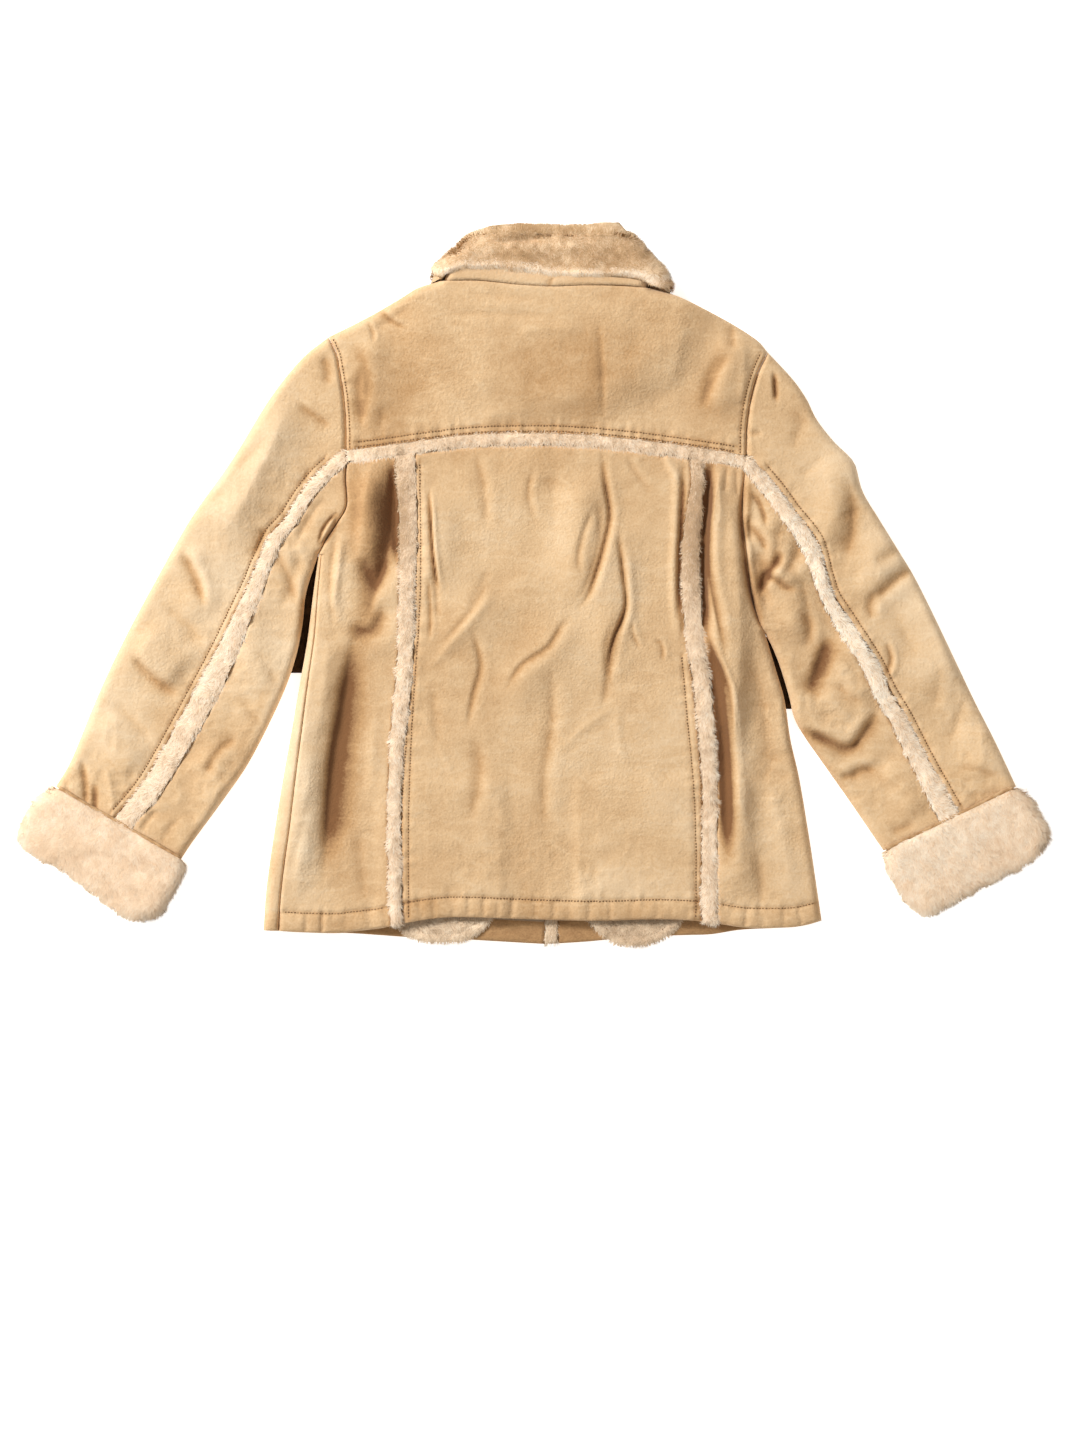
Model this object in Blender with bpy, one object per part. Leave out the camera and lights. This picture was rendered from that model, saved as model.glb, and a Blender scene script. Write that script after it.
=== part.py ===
"""Faux sheepskin jacket, lying face down and flat, with its back upwards.

Every cloth piece is a wall lofted between rows of sections. The outline of each piece is made of named
seam lines, given in millimetres: x across the garment, y up it, with the origin at the middle of the
outline on the surface that it lies on. The back lies on the fronts, and each sleeve is a flattened tube.
"""
import math

import bmesh
import bpy
import numpy as np

MM = 0.001
PILE_WALL = 8.0          # suede and pile together, in the upper layer
PRESSED_WALL = 6.0       # the same cloth under the weight of the upper layer
LAID_HEIGHT = 17.6       # top of the upper layer where it lies flat on the lower one
EDGE = 9.0               # radius of a folded side edge, half the height of the two layers
SEAM = 0.3               # clearance between two pieces at a seam
ROUND_SHARES = (0.0, 0.134, 0.5, 1.0)                 # of an edge's radius: its 0, 30, 60 and 90 degrees
ROUND_STEPS = tuple(EDGE * share for share in ROUND_SHARES)
HEM_STEPS = (0.0, 1.6, 5.0)
HEM_ROLL = 3.0           # how far a hem's upper arris is rounded down
HEM_TUCK, FRONT_HEM_TUCK = 1.0, 2.0                   # and its lower one, on the back and on the fronts
STRIP_RISE = 3.0         # how far a pile strip stands above the panels beside it
STRIP_DEPTH = 6.0        # how far it reaches down between them
CUFF_HEIGHT = 34.0
CUFF_EDGE = 16.0
CUFF_STEPS = tuple(CUFF_EDGE * share for share in ROUND_SHARES)
CUFF_WALL = 15.0
CUFF_END, CUFF_MOUTH = 12.0, 8.0                      # radii that round off its end and its mouth
CUFF_LIFT, CUFF_LIFT_REACH = 8.0, 90.0                # how far the sleeve's end is lifted, over what length
FALL_MIDDLE, FALL_HALF, FALL_EDGE = 18.75, 18.75, 18.0   # the folded collar: middle level, half height, edge
FALL_WALL, FALL_PRESSED = 10.0, 7.4                      # its wall at the back of the neck, and at the front
STAND_MIDDLE, STAND_HALF = 17.6, 9.2
STAND_INSET = 6.0        # how far the stand starts in from the end of the neckline
STAND_REACH = 205        # of the 301 points up the fall's side, those that the stand reaches up to
FLAT_GAP = 1.9           # half the space left between two flattened layers
COLLAR_LIFT = 8.4        # how far the cloth over the front of the collar is lifted by it
COLLAR_SPREAD = 3.0      # how much wider the fall is at each side than its own wall over the stand
BAG_THICK, BAG_ROUND = 4.0, 1.4
BAG_LIFT = 2.0           # how far the back is lifted over a pocket bag
FRONT_STRIP_RISE = 1.6
SAG = 2.4                # how far a crease may dip below the flat of the upper layer
SMOOTH_ANGLE = math.radians(50)

ROWS_SIDE, ROWS_ARMHOLE, ROWS_UPPER, ROWS_SHOULDER, ROWS_SLEEVE = 10, 5, 6, 6, 11
COLUMNS_SIDE, COLUMNS_CENTRE, COLUMNS_FRONT, COLUMNS_CUFF = 6, 14, 11, 5
NECK_POINTS, FRONT_NECK_POINTS, FALL_POINTS, FALL_FRONT_POINTS = 13, 6, 14, 8

# Finishes: linear colour and roughness.
SUEDE = ((0.716, 0.491, 0.283), 0.92)
STRIP_PILE = ((0.81, 0.65, 0.46), 1.0)
CUFF_PILE = ((0.855, 0.651, 0.44), 1.0)
COLLAR_PILE = ((0.638, 0.423, 0.238), 1.0)
BAG_PILE = ((0.597, 0.423, 0.266), 1.0)


def table(columns, *rows):
    """A short table: a dictionary of one array for each named column."""
    return dict(zip(columns.split(), np.array(rows, float).T))


# ---------------------------------------------------------------- seam lines, in millimetres

SHOULDER_LEFT = table("x y", (-95, 301.5), (-116, 295), (-133, 285), (-169, 265), (-205, 247))
SHOULDER_RIGHT = table("x y", (118, 294), (133, 290), (148, 285), (189, 265), (221, 245), (233, 232))
NECKLINE = table("x y", (-95, 301.5), (-57, 302), (-18, 298), (16, 296), (49, 297), (85, 297), (118, 294))
ARMHOLE_LEFT = table(
    "x y", (-205, 247), (-197, 230), (-193, 210), (-189, 185), (-187, 155), (-187, 128), (-188, 105),
    (-187, 79), (-196, 62), (-206, 47), (-215, 30))
ARMHOLE_RIGHT = table(
    "x y", (233, 232), (223, 210), (216, 185), (212, 157), (211, 123), (208, 90), (208, 65), (211, 37),
    (216, -5), (222, -31), (231, -50))
SIDE_LEFT = table(
    "x y", (-215, 30), (-221, -15), (-226, -55), (-233, -95), (-240, -135), (-254, -215), (-266, -295),
    (-270, -345))
SIDE_RIGHT = table(
    "x y", (231, -50), (242, -87), (250, -115), (256, -155), (265, -195), (275, -255), (281, -295),
    (287, -335))
# How far the left side seam lies in from the folded edge, because the front wraps round that edge.
SIDE_SEAM = table("y in_from_edge", (-345, 15), (-240, 15), (-175, 12), (-115, 9), (-45, 6.5), (30, 3))

YOKE_SEAM = table(
    "x y", (-186, 128), (-153, 132), (-103, 139), (-63, 143.5), (-23, 145), (17, 145), (57, 143), (107, 138),
    (167, 130), (210, 123))
YOKE_STRIP_HALF = 5.0
STRIP_LEFT = table(
    "x y half_width", (-128, 128, 8), (-126.5, 95, 8), (-125, 52, 7.3), (-127, -14, 6.5), (-128, -70, 6.5),
    (-133, -130, 6.5), (-137, -163, 5.5), (-139, -230, 5.3), (-138, -313, 4.6), (-137, -340, 4.6))
STRIP_RIGHT = table(
    "x y half_width", (161.5, 126, 4.8), (162.5, 101, 5), (158, 60, 7), (156, 30, 7), (156.5, -5, 7.3),
    (160, -51, 7.3), (167.5, -102, 7), (172, -154, 6.3), (175, -205, 6), (175, -255, 6), (174.5, -294, 6.6),
    (175, -338, 6))

BACK_HEM = table(
    "x y", (-270, -345), (-203, -347.5), (-183, -346), (-153, -342.5), (-133, -338), (-100, -332.5),
    (-68, -331), (-3, -333.5), (62, -335), (127, -333.5), (171, -336), (207, -341.5), (247, -342),
    (268, -340), (287, -335))
FRONT_HEM = table(
    "x y", (-270, -345), (-213, -347.5), (-183, -348), (-153, -350), (-123, -352), (-73, -354), (-3, -358),
    (17, -358.5), (57, -356), (97, -352), (147, -350), (177, -349), (207, -344.5), (247, -342.5),
    (268, -340), (287, -335))
CENTRE_FRONT, CENTRE_STRIP_HALF = 17.0, 5.5

SLEEVE_OUTER_LEFT = table(
    "x y", (-205, 247), (-232, 225), (-264, 185), (-301, 125), (-343, 65), (-377, 5), (-409, -55),
    (-437, -115), (-461, -175), (-476, -201))
SLEEVE_INNER_LEFT = table(
    "x y", (-215, 30), (-227, -7), (-231, -40), (-238, -74), (-253, -115), (-283, -175), (-310, -215),
    (-339, -255), (-351, -273))
SLEEVE_OUTER_RIGHT = table(
    "x y", (233, 232), (258, 205), (272, 185), (282, 165), (299, 143), (319, 122), (328, 93), (344, 66),
    (365, 32), (381, 5), (401, -35), (420, -75), (439, -115), (459, -155), (480, -201))
SLEEVE_INNER_RIGHT = table(
    "x y", (231, -50), (237.5, -62), (245.5, -82), (254, -110), (260, -134), (272, -155), (286, -175),
    (314, -215), (341, -255), (348, -265))
SLEEVE_STRIP_LEFT = table(
    "x y half_width", (-187, 128, 5), (-212, 105, 5), (-228, 85, 5), (-241, 64, 5), (-256, 47, 5.2),
    (-267, 23, 5.6), (-278, -6, 6.5), (-291, -35, 7.4), (-306, -69, 9), (-331, -118, 9.8), (-346, -145, 9.2),
    (-364, -177, 9), (-382, -206, 8.6), (-410.5, -239, 7.5))
SLEEVE_STRIP_RIGHT = table(
    "x y half_width", (211, 123, 5), (237, 91, 6), (252, 70, 6), (274, 40, 7), (284, 9, 5.6), (292, -13, 5),
    (309, -41, 6), (333, -80, 6.5), (346, -107, 6.5), (364, -138, 6.6), (385, -180, 7), (401, -211, 8),
    (413, -233, 8.4))

CUFF_LEFT = {
    "mouth": table("x y", (-477.2, -200.3), (-346.7, -275.5)),
    "outer": table("x y", (-477.2, -200.3), (-495, -211), (-508, -230), (-513.5, -246), (-509, -258)),
    "inner": table("x y", (-346.7, -275.5), (-347.5, -285), (-352, -299), (-362, -314), (-374, -328),
                   (-387, -333)),
    "end": table("x y", (-509, -258), (-489, -270), (-468, -281), (-445, -298), (-426, -313), (-407, -327),
                 (-387, -333)),
}
CUFF_RIGHT = {
    "mouth": table("x y", (482, -200.1), (346.2, -265.9)),
    "outer": table("x y", (482, -200.1), (494, -211), (503, -226), (511, -241), (513.5, -252), (508, -262)),
    "inner": table("x y", (346.2, -265.9), (347.5, -276), (351, -287), (362, -304), (375, -320),
                   (385, -329)),
    "end": table("x y", (508, -262), (490, -275), (448, -296), (419, -312), (396, -325), (385, -329)),
}

COLLAR_SIDE_LEFT = table(
    "x y", (-102, 309.5), (-99, 318), (-91, 326), (-78, 335), (-68, 347), (-56, 353.5))
COLLAR_SIDE_RIGHT = table(
    "x y", (136, 300), (133, 309), (123, 320), (114, 331), (102, 345), (94, 353))
COLLAR_FOLD = table(
    "x y", (-56, 353.5), (-41, 357), (-18, 358.5), (20, 356.5), (49, 357.5), (74, 360), (86, 358.5), (94, 353))
COLLAR_FALL_EDGE = table(
    "x y", (-102, 309.5), (-95, 305.5), (-86, 309), (-78, 313), (-62, 314.5), (-37, 315), (-9, 312), (16, 309),
    (39, 307), (68, 306), (97, 303.5), (116, 299), (129, 295.5), (136, 300))
# The front of the collar and the front neckline, hidden under the yoke: both dip towards the centre front.
COLLAR_FRONT_LEFT = table("x y", (-102, 309.5), (-103.5, 284), (-86, 252), (-62, 224), (-26, 207), (17, 236))
COLLAR_FRONT_RIGHT = table("x y", (136, 300), (134, 272), (118, 246), (94, 222), (60, 207), (17, 236))
FRONT_NECK_LEFT = table("x y", (-95, 301.5), (-86, 280), (-66, 262), (-34, 250), (17, 246))
FRONT_NECK_RIGHT = table("x y", (118, 294), (112, 276), (94, 260), (64, 249), (17, 246))
# Rows of the folded collar, from its free edge to the fold: share of the way, and how much of its half height
# its upper, its lower and its inner faces have there.
COLLAR_ROWS = table(
    "share upper lower inner", (0, 0.66, 0.8, 1), (0.06, 0.9, 0.95, 1), (0.3, 1, 1, 1), (0.55, 1, 1, 1),
    (0.74, 0.97, 1, 1), (0.755, 0.96, 0.99, 0.22), (0.87, 0.84, 0.9, 0.22), (0.96, 0.62, 0.66, 0.22),
    (1, 0.36, 0.36, 0.22))

POCKET_BAGS = table(
    "centre_x bottom_y width height round", (-92, -356.5, 112, 150, 46), (100.5, -360, 105, 150, 50))

# The largest folds of the upper layer: a ridge runs from start to end, bows sideways by bow, is as wide to its
# left and right flanks as those columns say, and stands height above the cloth round it (below, if negative).
FOLDS = table(
    "x0 y0 x1 y1 bow left right height",
    (-205, -10, -243, -330, -8, 20, 20, 7),       # left side back: the long ridge down to the hem
    (-168, 118, -162, 10, 4, 15, 17, 7),          # left side back, under the yoke
    (186, 116, 190, -190, 14, 13, 28, 9),         # right side back: the ridge beside the strip
    (200, -170, 212, -325, -5, 15, 22, 7),
    (62, 122, 46, -30, -12, 19, 19, 5),           # centre back
    (86, 70, 80, -100, -8, 19, 19, 4),
    (40, -30, -30, -125, 0, 22, 22, 4),
    (-36, 0, -95, -70, 0, 24, 24, 3.5),
    (-98, 100, -98, -20, 3, 18, 18, 3.5),
    (196, 262, 174, 160, 8, 17, 19, 5),           # yoke, by the right shoulder
    (-160, 260, -156, 150, -8, 17, 17, 4),        # yoke, by the left shoulder
    (-236, 200, -322, 30, 6, 24, 32, 7),          # left sleeve: the long bright ridge
    (-345, 50, -332, -40, 6, 24, 24, 5),
    (-400, -50, -345, -95, 0, 22, 24, 6),
    (-292, 10, -262, -115, -6, 20, 20, 5),
    (-436, -125, -398, -195, 4, 20, 20, 5),
    (-335, -160, -300, -220, 0, 20, 20, 5),
    (300, 138, 288, 30, 8, 20, 20, 6),            # right sleeve
    (232, 90, 238, -20, 8, 15, 16, 5),
    (266, 30, 262, -65, -6, 20, 20, 6),
    (342, 58, 332, -20, 5, 20, 20, 5),
    (392, 0, 410, -115, 6, 22, 22, 5),
    (290, -50, 334, -130, 8, 20, 20, 6),
    (440, -135, 440, -200, 4, 18, 18, 5),
    (345, -175, 385, -235, 4, 18, 18, 5),
)


# ---------------------------------------------------------------- lines and fields

def smooth_line(points, count=301):
    """A Catmull-Rom curve through a table's x and y, resampled evenly along its length."""
    p = np.column_stack([points["x"], points["y"]])
    if len(p) == 2:
        return p[0] + (p[1] - p[0]) * np.linspace(0, 1, count)[:, None]
    ends = np.vstack([2 * p[0] - p[1], p, 2 * p[-1] - p[-2]])
    t = np.linspace(0, 1, 24, endpoint=False)[:, None]
    pieces = []
    for a, b, c, d in zip(ends, ends[1:], ends[2:], ends[3:]):
        pieces.append(0.5 * (2 * b + (c - a) * t + (2 * a - 5 * b + 4 * c - d) * t**2
                             + (3 * b - a - 3 * c + d) * t**3))
    return at_fraction(np.vstack([*pieces, p[-1:]]), np.linspace(0, 1, count))


def length_along(line):
    """The distance of each point of a line from its start."""
    return np.concatenate([[0.0], np.cumsum(np.linalg.norm(np.diff(line, axis=0), axis=1))])


def at_length(line, lengths):
    """The points at these distances along a line."""
    along = length_along(line)
    return np.column_stack([np.interp(lengths, along, line[:, k]) for k in (0, 1)])


def at_fraction(line, fractions):
    """The points at these shares of a line's length."""
    return at_length(line, np.asarray(fractions) * length_along(line)[-1])


def at_height(line, heights):
    """The points of a line that runs down the garment, at these y values."""
    x = np.interp(-np.asarray(heights), -line[:, 1], line[:, 0])
    return np.column_stack([x, heights])


def normals(line):
    """The unit normals to the left of a line's direction."""
    d = np.gradient(line, axis=0)
    d /= np.linalg.norm(d, axis=1)[:, None]
    return np.column_stack([-d[:, 1], d[:, 0]])


def beside(line, distance):
    """A line moved to its left by a distance, or to its right where that is negative."""
    return line + normals(line) * np.reshape(distance, (-1, 1))


def nearest(points, line):
    """The distance of each point from a line, and the line's left normal at the nearest place."""
    start, run = line[:-1], np.diff(line, axis=0)
    offset = points[..., None, :] - start
    share = np.clip(np.sum(offset * run, axis=-1) / np.sum(run * run, axis=-1), 0, 1)
    gap = np.linalg.norm(offset - share[..., None] * run, axis=-1)
    return gap.min(axis=-1), normals(line)[gap.argmin(axis=-1)]


def steps(length, count, round_start=False, round_end=False, first=ROUND_STEPS):
    """Distances from 0 to length: close together in a rounded edge at either end, even between."""
    low = list(first) if round_start else [0.0]
    high = [length - s for s in reversed(first)] if round_end else [length]
    return np.array(low[:-1] + list(np.linspace(low[-1], high[0], count)) + high[1:])


def smoothstep(x):
    """0 below 0, 1 above 1, and an even S between them."""
    x = np.clip(x, 0, 1)
    return x * x * (3 - 2 * x)


def rise(distance, radius=EDGE):
    """A quarter circle: 0 at a folded edge, 1 from one radius in."""
    away = np.clip(1 - distance / radius, 0, 1)
    return np.sqrt(1 - away * away)


def fold_relief(points):
    """The largest folds: along a bowed spine, a bell across it with its own width on each flank."""
    relief = np.zeros(points.shape[:-1])
    for k in range(len(FOLDS["x0"])):
        fold = {name: column[k] for name, column in FOLDS.items()}
        start = np.array([fold["x0"], fold["y0"]])
        run = np.array([fold["x1"], fold["y1"]]) - start
        size = np.linalg.norm(run)
        along = (points - start) @ run / size**2
        across = (points - start) @ np.array([-run[1], run[0]]) / size
        across = across - fold["bow"] * 4 * along * (1 - along)
        width = np.where(across > 0, fold["left"], fold["right"])
        taper = smoothstep(along / 0.3) * smoothstep((1 - along) / 0.3)
        relief += fold["height"] * taper * np.exp(-(across / width) ** 2)
    return relief


def laid_height(points):
    """The top of the upper layer over the lower one: even, but for its folds and the pocket bags under it."""
    x, y = points[..., 0], points[..., 1]
    bags = sum(BAG_LIFT * smoothstep((-180 - y) / 25) * smoothstep((width / 2 + 14 - abs(x - centre)) / 14)
               for centre, width in zip(POCKET_BAGS["centre_x"], POCKET_BAGS["width"]))
    return np.maximum(LAID_HEIGHT + bags + fold_relief(points), LAID_HEIGHT - SAG + 1.7 * bags)


def lift(points):
    """How far both layers are lifted: over the collar's front, and towards each cuff."""
    x, y = points[..., 0], points[..., 1]
    out = np.hypot((x - 17) / 125, (y - 300) / 105)
    raised = COLLAR_LIFT * smoothstep((1.45 - out) / 0.42)
    for lines in SLEEVE.values():
        mouth = smooth_line(lines["cuff"]["mouth"], 61)
        raised = raised + CUFF_LIFT * smoothstep(1 - nearest(points, mouth)[0] / CUFF_LIFT_REACH)
    return raised


def coons(bottom, top, left, right):
    """A plan filled in from its four edges: rows run from bottom to top, columns from left to right."""
    u = length_along(bottom)[None, :, None] / length_along(bottom)[-1]
    v = length_along(left)[:, None, None] / length_along(left)[-1]
    corners = ((1 - u) * (1 - v) * bottom[0] + u * (1 - v) * bottom[-1]
               + (1 - u) * v * top[0] + u * v * top[-1])
    return (1 - v) * bottom[None] + v * top[None] + (1 - u) * left[:, None] + u * right[:, None] - corners


# ---------------------------------------------------------------- walls

def edge_distance(plan, folds_at, radius):
    """The distance to the nearest folded edge, and the way in from it along the grid's own lines."""
    distance = np.full(plan.shape[:-1], 1e3)
    inward = np.zeros(plan.shape)
    ways = [way / np.linalg.norm(way, axis=-1, keepdims=True) for way in np.gradient(plan, axis=(0, 1))]
    ways = np.stack([ways[0], -ways[0], ways[1], -ways[1]])
    for line, side in folds_at:
        near, normal = nearest(plan, line)
        best = np.sum(ways * normal * side, axis=-1).argmax(axis=0)
        way = np.take_along_axis(ways, best[None, ..., None], axis=0)[0]
        closer = near < distance
        distance[closer] = near[closer]
        inward[closer] = way[closer]
    return distance, inward


def stacked(plan, z):
    """The points of a plan at this height, or at a height of their own."""
    return np.concatenate([plan, np.broadcast_to(z, plan.shape[:-1])[..., None]], axis=-1)


def hem_round(plan, hem, amount, reach=4.0):
    """How far a face is moved towards the cloth's middle near its hem line, to round the hem off."""
    return 0.0 if hem is None else amount * (1 - rise(nearest(plan, hem)[0], reach))


def upper_wall(plan, folds_at=(), hem=None, half_seam=0.0):
    """Outer and inner points of the layer that shows, rounded down to mid-height at its folded edges."""
    distance, inward = edge_distance(plan, folds_at, EDGE)
    height, up, low = laid_height(plan), rise(distance), EDGE + half_seam
    inset = PILE_WALL * np.clip(1 - distance / EDGE, 0, 1)
    raised = lift(plan) + low
    outer = stacked(plan, raised + (height - hem_round(plan, hem, HEM_ROLL) - low) * up)
    inner_height = height - PILE_WALL + hem_round(plan, hem, HEM_TUCK)
    return outer, stacked(plan + inward * inset[..., None], raised + (inner_height - low) * up)


def lower_wall(plan, folds_at=(), hem=None, half_seam=0.0):
    """Outer and inner points of the layer that lies on the surface, rounded up to mid-height at its edges."""
    distance, inward = edge_distance(plan, folds_at, EDGE)
    up, high = rise(distance), EDGE - half_seam
    inset = PILE_WALL * np.clip(1 - distance / EDGE, 0, 1)
    raised = lift(plan) + high
    inner_height = PRESSED_WALL - hem_round(plan, hem, FRONT_HEM_TUCK)
    return stacked(plan, raised - high * up), stacked(plan + inward * inset[..., None],
                                                      raised - (high - inner_height) * up)


def add_object(name, mesh, finish):
    """Puts a mesh in the jacket's collection, with a plain material of its own."""
    colour, roughness = finish
    made = bpy.data.materials.new(name)
    made.use_nodes = True
    shader = made.node_tree.nodes["Principled BSDF"]
    shader.inputs["Base Color"].default_value = (*colour, 1)
    shader.inputs["Roughness"].default_value = roughness
    shader.inputs["Metallic"].default_value = 0.0
    mesh.materials.append(made)
    obj = bpy.data.objects.new(name, mesh)
    bpy.data.collections["jacket"].objects.link(obj)
    return obj


def wall(name, outer, inner, finish, cells=None):
    """One closed piece of cloth between two grids of points, with a rim round the grid squares kept.
    Points that fall together are one."""
    rows, columns = outer.shape[:2]
    kept = np.ones((rows - 1, columns - 1), bool) if cells is None else cells
    points = np.concatenate([outer.reshape(-1, 3), inner.reshape(-1, 3)])
    _, first, same = np.unique(np.round(points, 3), axis=0, return_index=True, return_inverse=True)
    same = same.reshape(-1)
    faces, rim = [], {}
    for j, i in np.argwhere(kept):
        corners = [j * columns + i, j * columns + i + 1, (j + 1) * columns + i + 1, (j + 1) * columns + i]
        if len(set(same[corners])) < 3:
            continue
        faces.append(corners)
        faces.append([c + rows * columns for c in reversed(corners)])
        for a, b in zip(corners, corners[1:] + corners[:1]):
            if same[a] != same[b] and rim.pop((same[b], same[a]), None) is None:
                rim[same[a], same[b]] = [b, a, a + rows * columns, b + rows * columns]
    faces = [list(dict.fromkeys(same[face].tolist())) for face in faces + list(rim.values())]
    mesh = bpy.data.meshes.new(name)
    mesh.from_pydata((points[first] * MM).tolist(), [], [face for face in faces if len(face) > 2])
    return finish_mesh(name, mesh, finish)


def finish_mesh(name, mesh, finish):
    """Drops unused points, turns the faces outwards and shades the cloth smooth."""
    work = bmesh.new()
    work.from_mesh(mesh)
    bmesh.ops.delete(work, geom=[v for v in work.verts if not v.link_faces], context="VERTS")
    bmesh.ops.recalc_face_normals(work, faces=work.faces)
    if work.calc_volume(signed=True) < 0:
        bmesh.ops.reverse_faces(work, faces=work.faces)
    work.to_mesh(mesh)
    work.free()
    mesh.shade_smooth()
    mesh.set_sharp_from_angle(angle=SMOOTH_ANGLE)
    return add_object(name, mesh, finish)


def strip(name, edge_a, edge_b, top, depth=STRIP_DEPTH, rise_above=STRIP_RISE):
    """A strip of bare pile along a seam: a rounded bar between two edge lines, from below the panels' faces
    to a little above them."""
    section = table(
        "across up", (0, -depth), (0, -1), (0.2, 0.8 * rise_above), (0.5, rise_above),
        (0.8, 0.8 * rise_above), (1, -1), (1, -depth))
    across, up = section["across"][None, :, None], section["up"][None, :]
    plan = edge_a[:, None] * (1 - across) + edge_b[:, None] * across
    points = stacked(plan, top[:, None] + up)
    stations, sides = points.shape[:2]
    faces = []
    for j in range(stations - 1):
        for i in range(sides):
            k = (i + 1) % sides
            faces.append([j * sides + i, j * sides + k, (j + 1) * sides + k, (j + 1) * sides + i])
    faces += [list(range(sides)), list(range((stations - 1) * sides, stations * sides))]
    mesh = bpy.data.meshes.new(name)
    mesh.from_pydata((points.reshape(-1, 3) * MM).tolist(), [], faces)
    return finish_mesh(name, mesh, STRIP_PILE)


# ---------------------------------------------------------------- shared lines, made once

SLEEVE = {
    "left": dict(outer=SLEEVE_OUTER_LEFT, inner=SLEEVE_INNER_LEFT, strip=SLEEVE_STRIP_LEFT, cuff=CUFF_LEFT,
                 sign=1.0),
    "right": dict(outer=SLEEVE_OUTER_RIGHT, inner=SLEEVE_INNER_RIGHT, strip=SLEEVE_STRIP_RIGHT,
                  cuff=CUFF_RIGHT, sign=-1.0),
}
HEM_LINE, FRONT_HEM_LINE = smooth_line(BACK_HEM), smooth_line(FRONT_HEM)
YOKE_LINE, NECK_LINE = smooth_line(YOKE_SEAM), smooth_line(NECKLINE)
# The necklines are divided at the same places in every piece that meets there.
NECK_STATIONS = at_fraction(NECK_LINE, np.linspace(0, 1, NECK_POINTS))
FRONT_NECK_STATIONS = {name: at_fraction(smooth_line(line), np.linspace(0, 1, FRONT_NECK_POINTS))
                       for name, line in (("left", FRONT_NECK_LEFT), ("right", FRONT_NECK_RIGHT))}


def y_on(line, x):
    """The height of a line that runs across the garment, at these x values."""
    return np.interp(x, line[:, 0], line[:, 1])


def side_of_body(name):
    """The lines of one side of the body, and where its armhole and side edge are divided into rows."""
    left = name == "left"
    armhole = smooth_line(ARMHOLE_LEFT if left else ARMHOLE_RIGHT)
    side = smooth_line(SIDE_LEFT if left else SIDE_RIGHT)
    shoulder = smooth_line(SHOULDER_LEFT if left else SHOULDER_RIGHT)[::-1]
    strip_table = STRIP_LEFT if left else STRIP_RIGHT
    along = length_along(armhole)
    yoke_y = YOKE_SEAM["y"][0 if left else -1]
    upper_end, lower_start = np.interp([-(yoke_y + YOKE_STRIP_HALF), -(yoke_y - YOKE_STRIP_HALF - SEAM)],
                                       -armhole[:, 1], along)
    side_length = length_along(side)[-1]
    side_steps = side_length - steps(side_length, ROWS_SIDE, round_start=True, first=HEM_STEPS)
    return {
        "armhole": armhole, "side": side, "side_steps": side_steps,
        "strip": smooth_line(strip_table), "strip_table": strip_table,
        "shoulder": shoulder,
        "shoulder_steps": steps(length_along(shoulder)[-1], ROWS_SHOULDER, round_start=True),
        "upper_steps": steps(upper_end, ROWS_UPPER, round_start=True),
        "lower_steps": lower_start + steps(along[-1] - lower_start, ROWS_ARMHOLE, round_end=True),
        "inwards": 1.0 if left else -1.0,
    }


BODY = {name: side_of_body(name) for name in ("left", "right")}


def armhole_points(name, part, piece):
    """One part of an armhole, from its top down, moved half a seam into the body or into the sleeve."""
    body = BODY[name]
    way = body["inwards"] if piece == "body" else -body["inwards"]
    along, side = length_along(body["armhole"]), normals(body["armhole"])
    across = np.column_stack([np.interp(body[part], along, side[:, k]) for k in (0, 1)])
    return at_length(body["armhole"], body[part]) + across * way * SEAM / 2


def body_edge(name):
    """One side edge of the body from its hem up to the yoke strip: the side, then the lower armhole."""
    side = at_length(BODY[name]["side"], BODY[name]["side_steps"])
    return np.vstack([side[:-1], armhole_points(name, "lower_steps", "body")[::-1]])


def strip_edges(name):
    """The middle of a back pile strip and its half width, at the rows of the side panel beside it."""
    body, edge = BODY[name], body_edge(name)
    share = (edge[:, 1] - edge[0, 1]) / (edge[-1, 1] - edge[0, 1])
    line, widths = body["strip"], body["strip_table"]
    low = y_on(HEM_LINE, line[-1, 0])
    heights = low + share * (y_on(YOKE_LINE, line[0, 0]) - YOKE_STRIP_HALF - SEAM - low)
    half = np.interp(-heights, -widths["y"], widths["half_width"])
    return at_height(line, heights), half


def strip_side(name, way, clearance=0.0):
    """One edge of a back pile strip, its left (-1) or right (1) one, from the hem up to the yoke strip."""
    middle, half = strip_edges(name)
    edge = middle + np.column_stack([way * (half + clearance), np.zeros_like(half)])
    edge[0, 1] = y_on(HEM_LINE, edge[0, 0])
    edge[-1, 1] = y_on(YOKE_LINE, edge[-1, 0]) - YOKE_STRIP_HALF - SEAM
    return edge


# ---------------------------------------------------------------- the back

def across_shares(name):
    """How the columns of a back panel are shared out, from left to right."""
    if name == "right":
        wide = BODY["right"]["side"][-1, 0] - strip_side("right", 1, SEAM)[0, 0]
        return steps(wide, COLUMNS_SIDE, round_end=True) / wide
    return np.linspace(0, 1, COLUMNS_SIDE if name == "left" else COLUMNS_CENTRE)


def back_edges():
    """The left and right edges of each back panel, from the hem up."""
    left_edge = body_edge("left")
    below = left_edge[:, 1] <= SIDE_LEFT["y"][0] + 0.01
    left_edge[below, 0] += SEAM + np.interp(left_edge[below, 1], SIDE_SEAM["y"], SIDE_SEAM["in_from_edge"])
    return {
        "left": (left_edge, strip_side("left", -1, SEAM)),
        "centre": (strip_side("left", 1, SEAM), strip_side("right", -1, SEAM)),
        "right": (strip_side("right", 1, SEAM), body_edge("right")),
    }


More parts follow.
